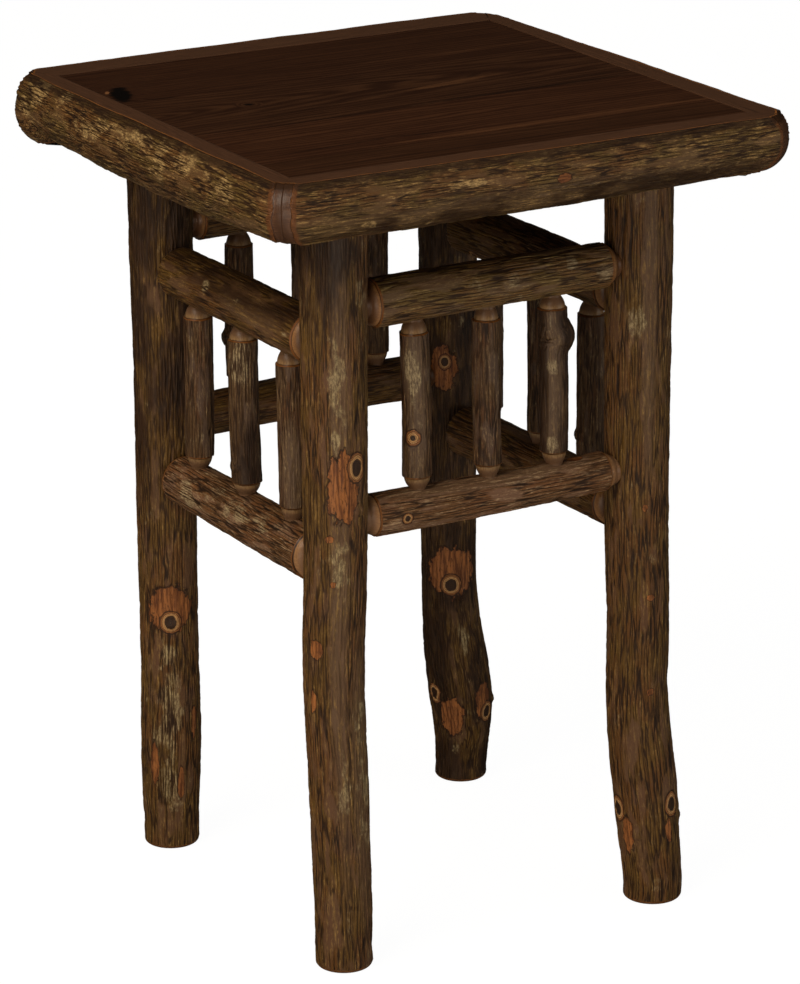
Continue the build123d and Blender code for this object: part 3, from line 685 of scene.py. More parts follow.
def bark_material(
        name, ridge_width, tones, lichen_tones, lichen_share, peeled_tones, lip, lip_tones,
        planed=None):
    """Bark with its lichen, tears, knots, peeled ends and, on a log, its planed face."""
    material, tree = new_material(name)
    bark = read_bark(tree, ridge_width)
    colour, groove = lay_bark(tree, bark, tones)
    colour = lay_lichen(tree, bark, colour, lichen_tones, lichen_share)
    colour, bare = lay_torn(tree, bark, colour)
    colour = lay_knots(tree, bark, colour)
    colour, peeled = lay_peeled(tree, bark, colour, peeled_tones, lip, lip_tones)
    smooth = add(tree, "ShaderNodeMath", bark.smooth, 0.8, operation="MULTIPLY")
    gloss = add(tree, "ShaderNodeMix", bark.relief, furrow_gloss, crest_gloss)
    gloss = add(tree, "ShaderNodeMix", smooth, gloss, smooth_gloss)
    gloss = add(tree, "ShaderNodeMix", peeled, gloss, peeled_gloss)

    # bark's fine relief stops where there is no bark, and fibres are everywhere
    on_knot = add(
        tree, "ShaderNodeMapRange", bark.knot, 0.0, 0.1, interpolation_type="SMOOTHSTEP")
    barkless = add(tree, "ShaderNodeMath", bare, peeled, operation="MAXIMUM")
    barkless = add(tree, "ShaderNodeMath", barkless, on_knot, operation="MAXIMUM")
    if planed:
        colour, flat = lay_planed(tree, bark, colour, groove, planed)
        gloss = add(tree, "ShaderNodeMix", flat, gloss, planed_gloss)
        barkless = add(tree, "ShaderNodeMath", barkless, flat, operation="MAXIMUM")
    has_bark = add(tree, "ShaderNodeMath", 1.0, barkless, operation="SUBTRACT")
    carved = add(tree, "ShaderNodeMath", bark.relief, has_bark, operation="MULTIPLY")
    height = add(tree, "ShaderNodeMath", bark.fibres, 0.05, carved, operation="MULTIPLY_ADD")
    bump = add(tree, "ShaderNodeBump", {
        "Height": height, "Strength": 0.85, "Distance": 1.1 * mm})
    shader = add(tree, "ShaderNodeBsdfPrincipled", {
        "Base Color": colour, "Roughness": gloss, "Normal": bump,
        "Specular IOR Level": 0.2})
    add(tree, "ShaderNodeOutputMaterial", shader)
    return material


# %% [markdown]
# ### Five kinds of bark
# Every log and stick comes from another tree. Legs and most rails are olive brown,
# the front and back upper rails greyer, the lower front and left ones redder, and
# the thin spindles darkest. Those four rails are also lighter than the legs, as
# painted light for the light that falls on them from low in front. The edge logs
# carry more lichen and have a wider lip.

# %% The materials in bark
pole_ridge = 2.2 * mm
stick_ridge = 2.1 * mm
log_ridge = 2.0 * mm
olive_lichen = ("#61533a", "#9a8964")
cream_lichen = ("#6a5534", "#b0925f")
white_lichen = ("#60523c", "#a08f6c")
orange_lip = ("#45260f", "#7e4f24")
bark_pole = bark_material(
    "hickory_bark_pole", pole_ridge, ("#533515", "#513914", "#4f3726", "#836737"),
    olive_lichen, 0.38, ("#6a4a2c", "#876039", "#3b271b"), 1.0 * mm, orange_lip)
# painted light: the pole bark made greyer and lighter, for the light on these rails
lit_rail_bark = bark_material(
    "hickory_bark_rail", pole_ridge, ("#5b4020", "#584420", "#564231", "#8f794b"),
    white_lichen, 0.38, ("#6a4a2c", "#876039", "#4a3122"), 1.0 * mm, orange_lip)
# painted light: the pole bark made redder and lighter, for the light on these rails
lit_red_rail_bark = bark_material(
    "hickory_bark_rail_red", pole_ridge, ("#613f23", "#5c3e22", "#634937", "#a98f6c"),
    white_lichen, 0.37, ("#6f4f33", "#8f6a45", "#654a35"), 1.0 * mm, orange_lip)
bark_stick = bark_material(
    "hickory_bark_stick", stick_ridge, ("#472d17", "#47321b", "#44352b", "#806948"),
    white_lichen, 0.39, ("#5e462c", "#826644", "#50392a"), 0.8 * mm, orange_lip)
edge_bark = bark_material(
    "hickory_edge_log", log_ridge, ("#523619", "#513e1d", "#4f3922", "#a3834f"),
    cream_lichen, 0.4, ("#38231a", "#563b27", "#3b2618"), 4.0 * mm, ("#331c0c", "#6b411d"),
    planed=("#3b2618", "#563926"))
print("5 bark materials")

# %% [markdown]
# ## Poles
# The solids are plain crooked poles. Subdividing them would give rings that cross
# the grain at odd angles, so each pole is made anew, over its solid. Its middle line
# is felt out with rays from outside, which also gives its thickness. A rail or
# spindle ends in a tenon that is hidden, a rounded shoulder that a knife has peeled,
# and then its bark. A leg loses its bark only round the sawn foot.

# %% Middle lines
rail_peeled = (24.0 + 0.4 + 8.0) * mm       # tenon, gap and shoulder
spindle_peeled = (14.0 + 0.4 + 10.5) * mm   # the same
rail_hidden = 21 * mm
spindle_hidden = 11 * mm
feelers = 24
feeling_rounds = 3
stray_hit = 2 * mm
end_depth = 0.7 * mm
steady_pitch = 8 * mm
edge_clearance = 1.5 * mm


def felt_line(node, start, way, side, up, distances):
    """Middles and radii of a pole at distances along its way."""
    mesh = nodes[node].data
    solid = BVHTree.FromPolygons(
        [v.co for v in mesh.vertices], [p.vertices for p in mesh.polygons])
    fingers = [
        side * cos(turn) + up * sin(turn)
        for turn in np.linspace(0, 2 * pi, feelers, endpoint=False)]
    middles, radii = [], []
    middle = start.copy()
    before = 0.0
    for distance in distances:
        middle += way * (distance - before)
        before = distance
        for attempt in range(feeling_rounds):
            reached = []
            for finger in fingers:
                hit = solid.ray_cast(middle + finger * ray_start, -finger, ray_start)[3]
                reached.append(0.0 if hit is None else ray_start - hit)
            reached = np.array(reached)
            radius = float(np.median(reached))
            reached[np.abs(reached - radius) > stray_hit] = radius
            middle += sum(
                (finger * float(length - radius) for finger, length in zip(fingers, reached)),
                Vector()) * (2 / feelers)
        middles.append(middle.copy())
        radii.append(radius)
    return middles, radii


def tip(node, way):
    """Middle of the flat end that a node has furthest along a way."""
    points = [v.co for v in nodes[node].data.vertices]
    furthest = max(point.dot(way) for point in points)
    ends = [point for point in points if point.dot(way) > furthest - end_depth]
    return sum(ends, Vector()) / len(ends)


# %% Steady lines
def steadied(middles, distances, edge):
    """A middle line drawn through stations well apart, so that close rings stay parallel."""
    chosen = [0]
    for number in range(1, len(distances) - 1):
        here = distances[number]
        apart = min(here - distances[chosen[-1]], distances[-1] - here)
        if apart >= steady_pitch and abs(edge[number]) > edge_clearance:
            chosen.append(number)
    chosen.append(len(distances) - 1)
    points = np.array(middles)
    return [Vector(point) for point in np.column_stack([
        np.interp(distances, distances[chosen], points[chosen, axis]) for axis in range(3)])]


def line_mesh(name, middles, values):
    """A chain of edges that carries values on its points."""
    mesh = bpy.data.meshes.new(name)
    mesh.from_pydata(middles, [(i, i + 1) for i in range(len(middles) - 1)], [])
    for label, numbers in values.items():
        mesh.attributes.new(label, "FLOAT", "POINT").data.foreach_set("value", numbers)
    return mesh


# %% Dress a solid
def dress(piece, node):
    """The finished piece stands for its solid and rides on the table's one body."""
    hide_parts(node)
    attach(piece, "root")


# %% [markdown]
# ### Marks
# Knots, torn patches and lichen could be scattered by a seed, but a maker picks and
# turns each pole by them, so they are listed one by one. A mark is an oval: its kind,
# how far along the pole it is, at which angle round it, and how wide and how long
# it is, in millimetres and degrees. "thin" marks are faint ones. Lichen, knots and
# torn bark are what they say. Smooth is a strip that hands have rubbed, and its
# lighter crests are a painted sheen. Stain is a darker stretch: painted shade under
# the top and on a spindle's flanks, and elsewhere it only darkens the bark. On a
# leg the angle is counted from +X and on a spindle from
# the outside, both anticlockwise seen from above. On a rail it is counted from the
# outside upwards, and on an edge log from the outside downwards.

# %% Paint the marks
kinds = ("torn", "lichen", "knot", "smooth", "stain")
thin_strengths = {"lichen": 0.55, "knot": 0.7, "torn": 0.7}
soft_rim = 2.5              # a strip or stretch is full from 1 / 2.5 of the way in


def paint_marks(piece, shift, marks):
    """Keep the marks of a piece as fields on its points."""
    mesh = piece.data
    point_count = len(mesh.vertices)
    spots = np.zeros(point_count * 3, np.float32)
    mesh.attributes["bark_place"].data.foreach_get("vector", spots)
    spots = spots.reshape(point_count, 3) - np.array(shift, np.float32)
    turn = np.degrees(np.arctan2(spots[:, 1], spots[:, 0]))
    radius = np.hypot(spots[:, 0], spots[:, 1])
    fields = np.zeros((point_count, len(kinds)), np.float32)
    for label, along, angle, width, height in marks:
        kind = label.removeprefix("thin ")
        strength = 1.0 if label == kind else thin_strengths[kind]
        round_by = np.radians((turn - angle + 180) % 360 - 180) * radius / (width * mm / 2)
        up_by = (spots[:, 2] - along * mm) / (height * mm / 2)
        channel = kinds.index(kind)
        field = (1 - np.hypot(round_by, up_by)) * strength
        fields[:, channel] = np.maximum(fields[:, channel], field)
    fields = np.clip(fields, 0, 1)
    mesh.attributes.new("marks", "FLOAT_VECTOR", "POINT").data.foreach_set(
        "vector", np.ascontiguousarray(fields[:, :3]).ravel())
    for kind in ("smooth", "stain"):
        mesh.attributes.new(kind, "FLOAT", "POINT").data.foreach_set(
            "value", np.clip(fields[:, kinds.index(kind)] * soft_rim, 0, 1))


# %% Marks on the legs
# Smooth marks lie where a pole catches the light towards the camera, so their lighter crests are
# a painted sheen.
marks = {
    "leg_front_left": [
        ("smooth", 420, 250, 22, 800), ("smooth", 180, 296, 30, 340),
        # the stain at the top of this leg is painted shade under the top
        ("stain", 690, 215, 100, 200), ("thin lichen", 640, 296, 24, 130),
        ("thin lichen", 200, 300, 40, 300), ("knot", 481, 283, 22, 32),
        ("torn", 464, 256, 38, 82), ("lichen", 509, 242, 14, 22),
        ("thin lichen", 570, 252, 30, 120), ("thin lichen", 390, 250, 28, 100),
        ("thin lichen", 190, 255, 26, 110), ("thin lichen", 60, 250, 24, 60),
        ("torn", 417, 230, 9, 7), ("torn", 375, 237, 7, 6),
        ("torn", 311, 206, 18, 24), ("torn", 262, 198, 9, 26)],
    "leg_front_right": [
        ("smooth", 590, 258, 18, 420), ("lichen", 566, 234, 30, 36),
        ("torn", 303, 262, 10, 7), ("torn", 210, 263, 10, 7), ("torn", 391, 253, 8, 7),
        ("knot", 94, 176, 22, 30), ("torn", 70, 198, 16, 46),
        ("knot", 95, 291, 20, 28), ("torn", 72, 280, 10, 30)],
    "leg_back_left": [
        # both stains, round the upper part of the leg, are painted shade under the top
        ("stain", 600, 250, 400, 460), ("stain", 560, 215, 120, 520),
        ("torn", 252, 247, 58, 56), ("knot", 238, 246, 24, 26),
        ("lichen", 150, 243, 40, 120), ("lichen", 205, 240, 22, 30),
        ("thin lichen", 120, 243, 60, 300), ("lichen", 66, 248, 34, 70),
        ("torn", 74, 264, 9, 44), ("torn", 95, 210, 12, 60), ("torn", 135, 293, 10, 40)],
    "leg_back_right": [
        # this stain darkens the whole leg
        ("stain", 400, 240, 400, 1400), ("torn", 231, 245, 64, 62),
        ("knot", 218, 244, 24, 26), ("knot", 101, 186, 22, 26), ("knot", 76, 296, 20, 24),
        ("torn", 78, 221, 32, 54), ("torn", 88, 288, 26, 50), ("torn", 441, 231, 34, 56),
        ("knot", 447, 233, 15, 18), ("lichen", 160, 262, 14, 50)],
}
print(sum(len(row) for row in marks.values()), "marks on the legs")

# %% Marks on the rails, the spindles and the logs
marks |= {
    "front_upper_rail": [
        ("lichen", 231, 38, 32, 24), ("lichen", 262, -8, 26, 22),
        ("thin lichen", 150, 20, 22, 120)],
    "front_lower_rail": [
        ("knot", 59, -7, 13, 12), ("torn", 246, 81, 8, 24), ("smooth", 150, 60, 20, 260)],
    "left_upper_rail": [
        ("lichen", 195, 24, 24, 22), ("lichen", 44, 8, 14, 22),
        ("smooth", 110, 20, 30, 150), ("stain", 140, 84, 70, 420)],
    "left_lower_rail": [
        ("thin lichen", 150, 34, 40, 320), ("lichen", 240, 10, 38, 46),
        ("lichen", 162, 14, 36, 44)],
    "right_upper_rail": [("knot", 253, -131, 16, 16)],
    "front_spindle_1": [
        ("thin knot", 63, -46, 19, 19), ("smooth", 100, -30, 22, 200),
        ("lichen", 120, -40, 18, 80)],
    "front_spindle_3": [
        # the smooth strip carries a painted sheen, and the two stains beside it are painted
        # shade on the spindle's flanks
        ("smooth", 100, -30, 20, 200), ("stain", 95, 25, 26, 260),
        ("stain", 95, -85, 18, 260), ("lichen", 107, -38, 16, 24),
        ("lichen", 36, -39, 16, 18)],
    "left_spindle_1": [("smooth", 60, 60, 26, 110)],
    "left_spindle_2": [
        ("lichen", 138, 50, 26, 60), ("lichen", 168, 48, 16, 28), ("stain", 50, 60, 40, 120)],
    "front_edge_log": [
        ("smooth", 235, 32, 34, 540), ("stain", 235, 42, 44, 620), ("torn", 252, 0, 12, 18),
        ("lichen", 60, 30, 12, 30), ("lichen", 160, -12, 12, 60)],
    "left_edge_log": [
        ("lichen", 34, -42, 56, 56), ("lichen", 84, -42, 34, 36), ("lichen", 225, -22, 20, 24),
        ("lichen", 330, -20, 24, 60), ("lichen", 10, 0, 30, 40),
        ("thin lichen", 150, -20, 40, 80), ("thin lichen", 280, -10, 40, 90),
        ("thin lichen", 400, -15, 40, 80), ("thin lichen", 230, -30, 30, 420)],
}
print(sum(len(row) for row in marks.values()), "marks in all")

# %% [markdown]
# ### From a solid to a pole in bark
# Each pole runs through the same steps, so one function makes them all: feel the
# middle line, draw its chain, run the tree, paint the marks. Each gets its own part
# of the endless bark pattern, by a shift that grows with its number.

# %% Make one pole
pole_numbers = count(1)
pattern_steps = (0.37, 0.61, 0.29)      # in metres


def bark_on(
        node, start, way, side, up, distances, edge, ragged, around, ridge, relief, bark,
        level_rings=0):
    """One pole in its bark, over its solid; level_rings are stacked plumb, as at a foot."""
    pole_number = next(pole_numbers)
    shift = tuple(step * pole_number for step in pattern_steps)
    middles, radii = felt_line(node, start, way, side, up, distances)
    middles = steadied(middles, distances, edge)
    for number in range(level_rings):
        middles[number].xy = middles[level_rings].xy
    chain = line_mesh(node + "_line", middles, {
        "thickness": radii, "along": distances, "edge": edge})
    piece = bpy.data.objects.new(node + "_bark", chain)
    bpy.context.scene.collection.objects.link(piece)
    run_tree(piece, pole_tree, {
        "Solid": nodes[node], "Points Around": around, "Side": side, "Up": up,
        "Shift": shift, "Ragged Edge": ragged, "Ridge Width": ridge, "Relief": relief,
        "Bark": bark})
    paint_marks(piece, shift, marks.get(node, []))
    dress(piece, node)
    return piece


# %% Legs
foot_rings = np.array([0.05, 0.4, 0.9, 1.5, 2.2, 3.0, 4.0]) * mm
foot_peeled = 2.4 * mm
shaft_start = 5 * mm
leg_top = 715 * mm
leg_pitch = 2.2 * mm
leg_around = 156                # points in a ring
leg_relief = 1.7 * mm
upright = Vector((0, 0, 1))
made_points = 0
for node in ("leg_front_left", "leg_front_right", "leg_back_left", "leg_back_right"):
    shaft = np.linspace(
        shaft_start, leg_top - 0.05 * mm, round((leg_top - shaft_start) / leg_pitch))
    distances = np.concatenate([foot_rings, shaft])
    foot = tip(node, -upright)
    foot.z = 0
    leg = bark_on(
        node, foot, upright, Vector((1, 0, 0)), Vector((0, 1, 0)), distances,
        foot_peeled - distances, 0.0, leg_around, pole_ridge, leg_relief, bark_pole,
        level_rings=len(foot_rings))
    made_points += len(leg.data.vertices)
print("4 legs,", made_points, "points")

# %% [markdown]
# ### Rails and spindles
# A stick is made from tenon to tenon, with its ends inside what holds it. The bare
# shoulders are smooth and round, so their rings stand close together. Under the
# bark they stand further apart, because its relief hides them.

# %% Rings of a stick
ragged_edge = 0.35 * mm
outwards = {
    "front": Vector((0, -1, 0)),
    "back": Vector((0, 1, 0)),
    "left": Vector((-1, 0, 0)),
    "right": Vector((1, 0, 0)),
}


def stick_distances(length, hidden, peeled, shoulder_rings, pitch):
    """Rings in the tenons, on the shoulders, at the bark's ends and along the bark."""
    end = np.concatenate([
        [0.2 * mm, hidden * 0.6], np.linspace(hidden, peeled - 0.1 * mm, shoulder_rings),
        [peeled + 0.15 * mm]])
    inside = peeled + 1.3 * mm
    bark = np.linspace(inside, length - inside, round((length - 2 * inside) / pitch))
    return np.concatenate([end, bark, length - end[::-1]])


def make_stick(
        node, way, side, up, hidden, peeled, rings, pitch, around, ridge, relief, bark):
    """A rail or a spindle from tenon to tenon."""
    start, end = tip(node, -way), tip(node, way)
    length = (end - start).length
    distances = stick_distances(length, hidden, peeled, rings, pitch)
    edge = np.maximum(peeled - distances, distances - (length - peeled))
    return bark_on(
        node, start, (end - start).normalized(), side, up, distances, edge, ragged_edge,
        around, ridge, relief, bark)


# %% Make the rails and spindles
# the rails in lighter bark, whose extra lightness is painted light
rail_barks = {
    "front_upper_rail": lit_rail_bark, "back_upper_rail": lit_rail_bark,
    "front_lower_rail": lit_red_rail_bark, "left_lower_rail": lit_red_rail_bark}
rail_rings, rail_pitch, rail_around, rail_relief = 16, 2.3 * mm, 100, 1.3 * mm
spindle_rings, spindle_pitch, spindle_around, spindle_relief = 14, 2.0 * mm, 72, 0.9 * mm
made_points = 0
for face, outward_way in outwards.items():
    along_way = Vector((1, 0, 0)) if face in ("front", "back") else Vector((0, 1, 0))
    for level in ("upper", "lower"):
        node = f"{face}_{level}_rail"
        rail = make_stick(
            node, along_way, outward_way, upright, rail_hidden, rail_peeled, rail_rings,
            rail_pitch, rail_around, pole_ridge, rail_relief,
            rail_barks.get(node, bark_pole))
        made_points += len(rail.data.vertices)
    for number in (1, 2, 3):
        spindle = make_stick(
            f"{face}_spindle_{number}", upright, outward_way, upright.cross(outward_way),
            spindle_hidden, spindle_peeled, spindle_rings, spindle_pitch, spindle_around,
            stick_ridge, spindle_relief, bark_stick)
        made_points += len(spindle.data.vertices)
print("8 rails and 12 spindles,", made_points, "points")

# %% [markdown]
# ## The log frame
# Four logs go round the top. Each is planed level with the boards, sawn flat
# where it meets them and mitred at both ends, and its bark runs round the corner
# like a ball's skin, up to a strip of bare wood on each side of the mitre. Cutting
# a barked pole with booleans would tear its fine rings at the mitres, so a log is
# woven from lines that run along it: on the outside a line follows the log and
# then swings round the corner, and every line ends on the mitre.

# %% Sizes of the log frame
log_radius = 32 * mm
log_axis_drop = 25.5 * mm
log_half_chord = sqrt(log_radius ** 2 - log_axis_drop ** 2)
top_half = 254 * mm
table_top = 762 * mm
log_bares = {                       # bare wood on each side of a mitre
    "front_left": 9 * mm, "front_right": 14 * mm, "back_right": 9 * mm, "back_left": 5 * mm}
bark_thick = 1.6 * mm
log_faces = {                       # width of the planed face
    "front": 22 * mm, "back": 37 * mm, "left": 21 * mm, "right": 23 * mm}
log_forms = {                       # growth, drop and bow at mid-length
    "front": (0.8 * mm, 0.5 * mm, 0.5 * mm),
    "back": (1.0 * mm, 0.0, 0.0),
    "left": (3.5 * mm, 3.0 * mm, -0.5 * mm),
    "right": (2.0 * mm, 1.0 * mm, 0.5 * mm)}
corner_signs = {
    "front_left": (-1, -1), "front_right": (1, -1), "back_right": (1, 1), "back_left": (-1, 1)}
corner_drifts = {                   # of a corner's middle along X, Y and Z, in millimetres
    "front_left": (0.0, -1.5, 0.0), "front_right": (2.0, -2.0, 3.0),
    "back_right": (-4.0, 4.0, 0.0), "back_left": (1.0, 1.0, 0.0)}
burl_corner = "back_left"
burl_radius = 33.5 * mm
burl_drop = 10.5 * mm
side_corners = {
    "front": ("front_left", "front_right"), "right": ("front_right", "back_right"),
    "back": ("back_right", "back_left"), "left": ("back_left", "front_left")}

# %% Corners of the log frame
log_corners, inner_corners, mitre_ways = {}, {}, {}
for corner, (sign_x, sign_y) in corner_signs.items():
    reach = top_half - log_half_chord
    axis_point = np.array([
        sign_x * reach + corner_drifts[corner][0] * mm,
        sign_y * reach + corner_drifts[corner][1] * mm])
    x_face = log_faces["right" if sign_x > 0 else "left"]
    y_face = log_faces["back" if sign_y > 0 else "front"]
    log_corners[corner] = axis_point
    inner_corners[corner] = np.array([
        sign_x * (top_half - x_face), sign_y * (top_half - y_face)])
    mitre = axis_point + np.array([sign_x, sign_y]) * log_half_chord - inner_corners[corner]
    mitre_ways[corner] = mitre / np.hypot(*mitre)
print("log frame corners", {name: np.round(spot * 1000) for name, spot in log_corners.items()})

# %% [markdown]
# ### The lines of a log
# First come the lines on the outside, from the planed face down to the underside.
# Along each one the log is tried at many places, and the line ends where it leaves
# the log through a mitre. Then it gets its stations, closest at its ends.

# %% Sizes of the lines
round_columns = 92
under_columns = 8
face_columns = 14
end_reach = 34 * mm
end_pitch = 1.1 * mm
log_pitch = 2.2 * mm
tried_reach = 1.6 * log_radius      # past each corner
tried_places = 1400
lump_size = 38 * mm
lump_height = 0.5 * mm
log_peeled_lift = 0.07
ragged_height = 0.42 * mm
no_bark = -1.0                      # an edge or rim that is far from the bark's end


def lumps(along, seed, size, height):
    """Slow swellings of a grown log along its length."""
    random = np.random.default_rng(seed)
    waves = random.uniform(0, 2 * pi, 5)
    return height * sum(
        np.sin(along / size * (1 + 0.37 * number) + wave)
        for number, wave in enumerate(waves)) / 2


# %% One log
def edge_log(side, seed):
    """One log of the frame as a closed mesh with its attributes."""
    first, second = side_corners[side]
    start, end = log_corners[first], log_corners[second]
    span = np.hypot(*(end - start))
    way = (end - start) / span
    out = np.array([way[1], -way[0]])
    growth, drop, bow = log_forms[side]
    first_rise, second_rise = corner_drifts[first][2] * mm, corner_drifts[second][2] * mm
    has_burl = burl_corner in (first, second)
    burl_middle = np.append(log_corners[burl_corner], table_top - log_axis_drop - burl_drop)

    def middle_line(along):
        """Place, height and radius of the log's middle line."""
        share = np.clip(along / span, 0, 1)
        bent = np.sin(pi * share)
        flat = start + way * np.clip(along, 0, span)[..., None] + out * (bow * bent)[..., None]
        height = table_top - log_axis_drop + first_rise + (second_rise - first_rise) * share
        return flat, height - drop * bent, log_radius + growth * bent

    def burl_reach(flat, axis_z, headings):
        """How far a ray from the middle line has to go to leave the burl."""
        if not has_burl:
            return np.zeros(axis_z.shape)
        to_burl = burl_middle - np.concatenate([flat, axis_z[..., None]], -1)
        nearest = (to_burl * headings).sum(-1)
        inside = burl_radius ** 2 - (to_burl ** 2).sum(-1) + nearest ** 2
        return np.where(inside > 0, nearest + np.sqrt(np.maximum(inside, 0)), 0)

    def outside(along, down, thin):
        """A point of the round side: along the log, at an angle below level."""
        flat, axis_z, radius = middle_line(along)
        radius = radius - thin
        past = along - np.clip(along, 0, span)
        swing = past / log_radius
        heading = out * np.cos(swing)[..., None] + way * np.sin(swing)[..., None]
        headings = np.concatenate([
            heading * np.cos(down)[..., None], -np.sin(down)[..., None]], -1)
        radius = np.maximum(radius, burl_reach(flat, axis_z, headings) - thin)
        straight = np.where(np.cos(down) < 0, past, 0.0)
        level = flat + heading * (radius * np.cos(down))[..., None] + way * straight[..., None]
        return np.concatenate([level, (axis_z - radius * np.sin(down))[..., None]], -1), radius

    def crown(along, thin):
        """Angle above level at which the planed face cuts the round side."""
        _, axis_z, radius = middle_line(along)
        return np.arcsin(np.clip((table_top - axis_z) / (radius - thin), -1, 1))

    def into_log(corner):
        """The way into the log, square to a mitre, seen from above."""
        saw = mitre_ways[corner]
        normal = np.array([-saw[1], saw[0]])
        return normal * np.sign(normal @ ((start + end) / 2 - inner_corners[corner]))

    def from_mitre(points, corner):
        """How far inside the log a point is from a mitre, seen from above."""
        return (points[..., :2] - inner_corners[corner]) @ into_log(corner)

    # where each line meets the two mitres
    shares = np.linspace(0, 1, round_columns)
    tried = np.linspace(-tried_reach, span + tried_reach, tried_places)
    halfway = len(tried) // 2
    limits = []
    for share in shares:
        top = crown(tried, 0.0)
        points, _ = outside(tried, -top + share * (top + pi / 2), 0.0)
        inside = (from_mitre(points, first) > 0) & (from_mitre(points, second) > 0)
        low = halfway - np.argmin(inside[:halfway + 1][::-1])
        high = halfway + np.argmin(inside[halfway:])
        limits.append((tried[low], tried[high]))
    limits = np.array(limits)

    # stations close together near the mitres
    near = np.arange(0, end_reach, end_pitch)
    length = limits[:, 1].max() - limits[:, 0].min()
    far = np.linspace(
        end_reach, length - end_reach, round((length - 2 * end_reach) / log_pitch))
    stations = np.concatenate([near, far, length - near[::-1]]) / length
    along = limits[None, :, 0] + stations[:, None] * (limits[:, 1] - limits[:, 0])[None, :]

    # the round side in lumps, and thinner by the bark's thickness where it is peeled
    random = np.random.default_rng(seed + 7)
    waves = random.normal(0, 1, (3, 4))[:, 0]
    thin = -lumps(along, seed, lump_size, lump_height)
    top = crown(along, thin)
    down = -top + shares[None, :] * (top + pi / 2)
    points, _ = outside(along, down, thin)
    past_bark = np.maximum(
        log_bares[first] - from_mitre(points, first),
        log_bares[second] - from_mitre(points, second))
    ragged = sum(
        np.sin(down * (3 + 4 * number) + wave) for number, wave in enumerate(waves))
    edge = past_bark + ragged_height * ragged
    bare = np.clip((edge + 0.4 * mm) / (0.8 * mm), 0, 1)
    thin = thin + bark_thick * bare
    top = crown(along, thin)
    down = -top + shares[None, :] * (top + pi / 2)
    points, radius = outside(along, down, thin)

    # what the bark reads on the round side
    flat, axis_z, nominal = middle_line(along)
    heading = points - np.concatenate([flat, axis_z[..., None]], -1)
    heading /= np.linalg.norm(heading, axis=-1, keepdims=True)
    lift = heading * (1 - (1 - log_peeled_lift) * bare)[..., None]
    lift[:, 0, 2] = 0
    steps = np.diff(points, axis=1, prepend=points[:, :1])
    down_the_bark = np.cumsum(np.linalg.norm(steps, axis=-1), axis=1)
    layers = {
        "point": [points],
        "bark_place": [np.stack([radius * np.cos(down), radius * np.sin(down), along], -1)],
        "lift": [lift], "rim": [-down_the_bark[..., None]], "edge": [edge[..., None]]}

    def add_line(**values):
        """One more line along the log: its points and what the bark reads on them."""
        for layer, parts in values.items():
            line = np.zeros((len(stations), 1, len(parts)))
            for axis, part in enumerate(parts):
                line[:, 0, axis] = part
            layers[layer].append(line)

    # underneath, in to the sawn face
    inner_start, inner_end = inner_corners[first], inner_corners[second]
    inner_line = inner_start + stations[:, None] * (inner_end - inner_start)
    bottom, bottom_along, bottom_z = points[:, -1, :2], along[:, -1], axis_z[:, -1]
    inset = np.abs((inner_line - flat[:, -1]) @ out)
    plain_radius = (nominal - thin)[:, -1]
    for number in range(1, under_columns + 1):
        share = number / under_columns
        level = bottom + (inner_line - bottom) * share
        lowest = bottom_z - np.sqrt(np.maximum(plain_radius ** 2 - (inset * share) ** 2, 0))
        if has_burl:
            deep = burl_radius ** 2 - ((level - burl_middle[:2]) ** 2).sum(-1)
            burl_z = burl_middle[2] - np.sqrt(np.maximum(deep, 0)) + thin[:, -1]
            lowest = np.where(deep > 0, np.minimum(lowest, burl_z), lowest)
        add_line(
            point=(*level.T, lowest), bark_place=(-inset * share, 0.03, bottom_along),
            lift=(0, 0, -1.0 if number < under_columns else 0), rim=(no_bark,),
            edge=(edge[:, -1],))

    # up the sawn face, then out over the planed face
    for share in (0.5, 1.0):
        height = lowest + (table_top - lowest) * share
        add_line(
            point=(*inner_line.T, height),
            bark_place=(-inset, table_top - height, bottom_along),
            lift=(0, 0, 0), rim=(0.02,), edge=(no_bark,))
    arris = points[:, 0, :2]
    width = np.linalg.norm(arris - inner_line, axis=-1)
    for number in range(1, face_columns):
        share = number / face_columns
        level = inner_line + (arris - inner_line) * share
        add_line(
            point=(*level.T, table_top),
            bark_place=((level - flat[:, 0]) @ out, -log_axis_drop, level @ way),
            lift=(0, 0, 0), rim=(width * (1 - share),), edge=(no_bark,))
    layers = {layer: np.concatenate(parts, 1) for layer, parts in layers.items()}

    # both ends lie flat on their mitres
    grid = layers.pop("point")
    for row, corner in ((0, first), (-1, second)):
        depth = from_mitre(grid[row], corner)
        grid[row, :, :2] -= depth[:, None] * into_log(corner)[None, :]

    rows, columns = grid.shape[:2]
    faces = [
        ((row + 1) * columns + column, (row + 1) * columns + (column + 1) % columns,
         row * columns + (column + 1) % columns, row * columns + column)
        for row in range(rows - 1) for column in range(columns)]
    faces.append(tuple(range(columns)))
    faces.append(tuple((rows - 1) * columns + column for column in range(columns))[::-1])
    mesh = bpy.data.meshes.new(side + "_log_lines")
    mesh.from_pydata(grid.reshape(-1, 3).tolist(), [], faces)
    for layer, values in layers.items():
        kind, field = ("FLOAT_VECTOR", "vector") if values.shape[-1] == 3 else ("FLOAT", "value")
        mesh.attributes.new(layer, kind, "POINT").data.foreach_set(
            field, np.ascontiguousarray(values, np.float32).ravel())
    return mesh


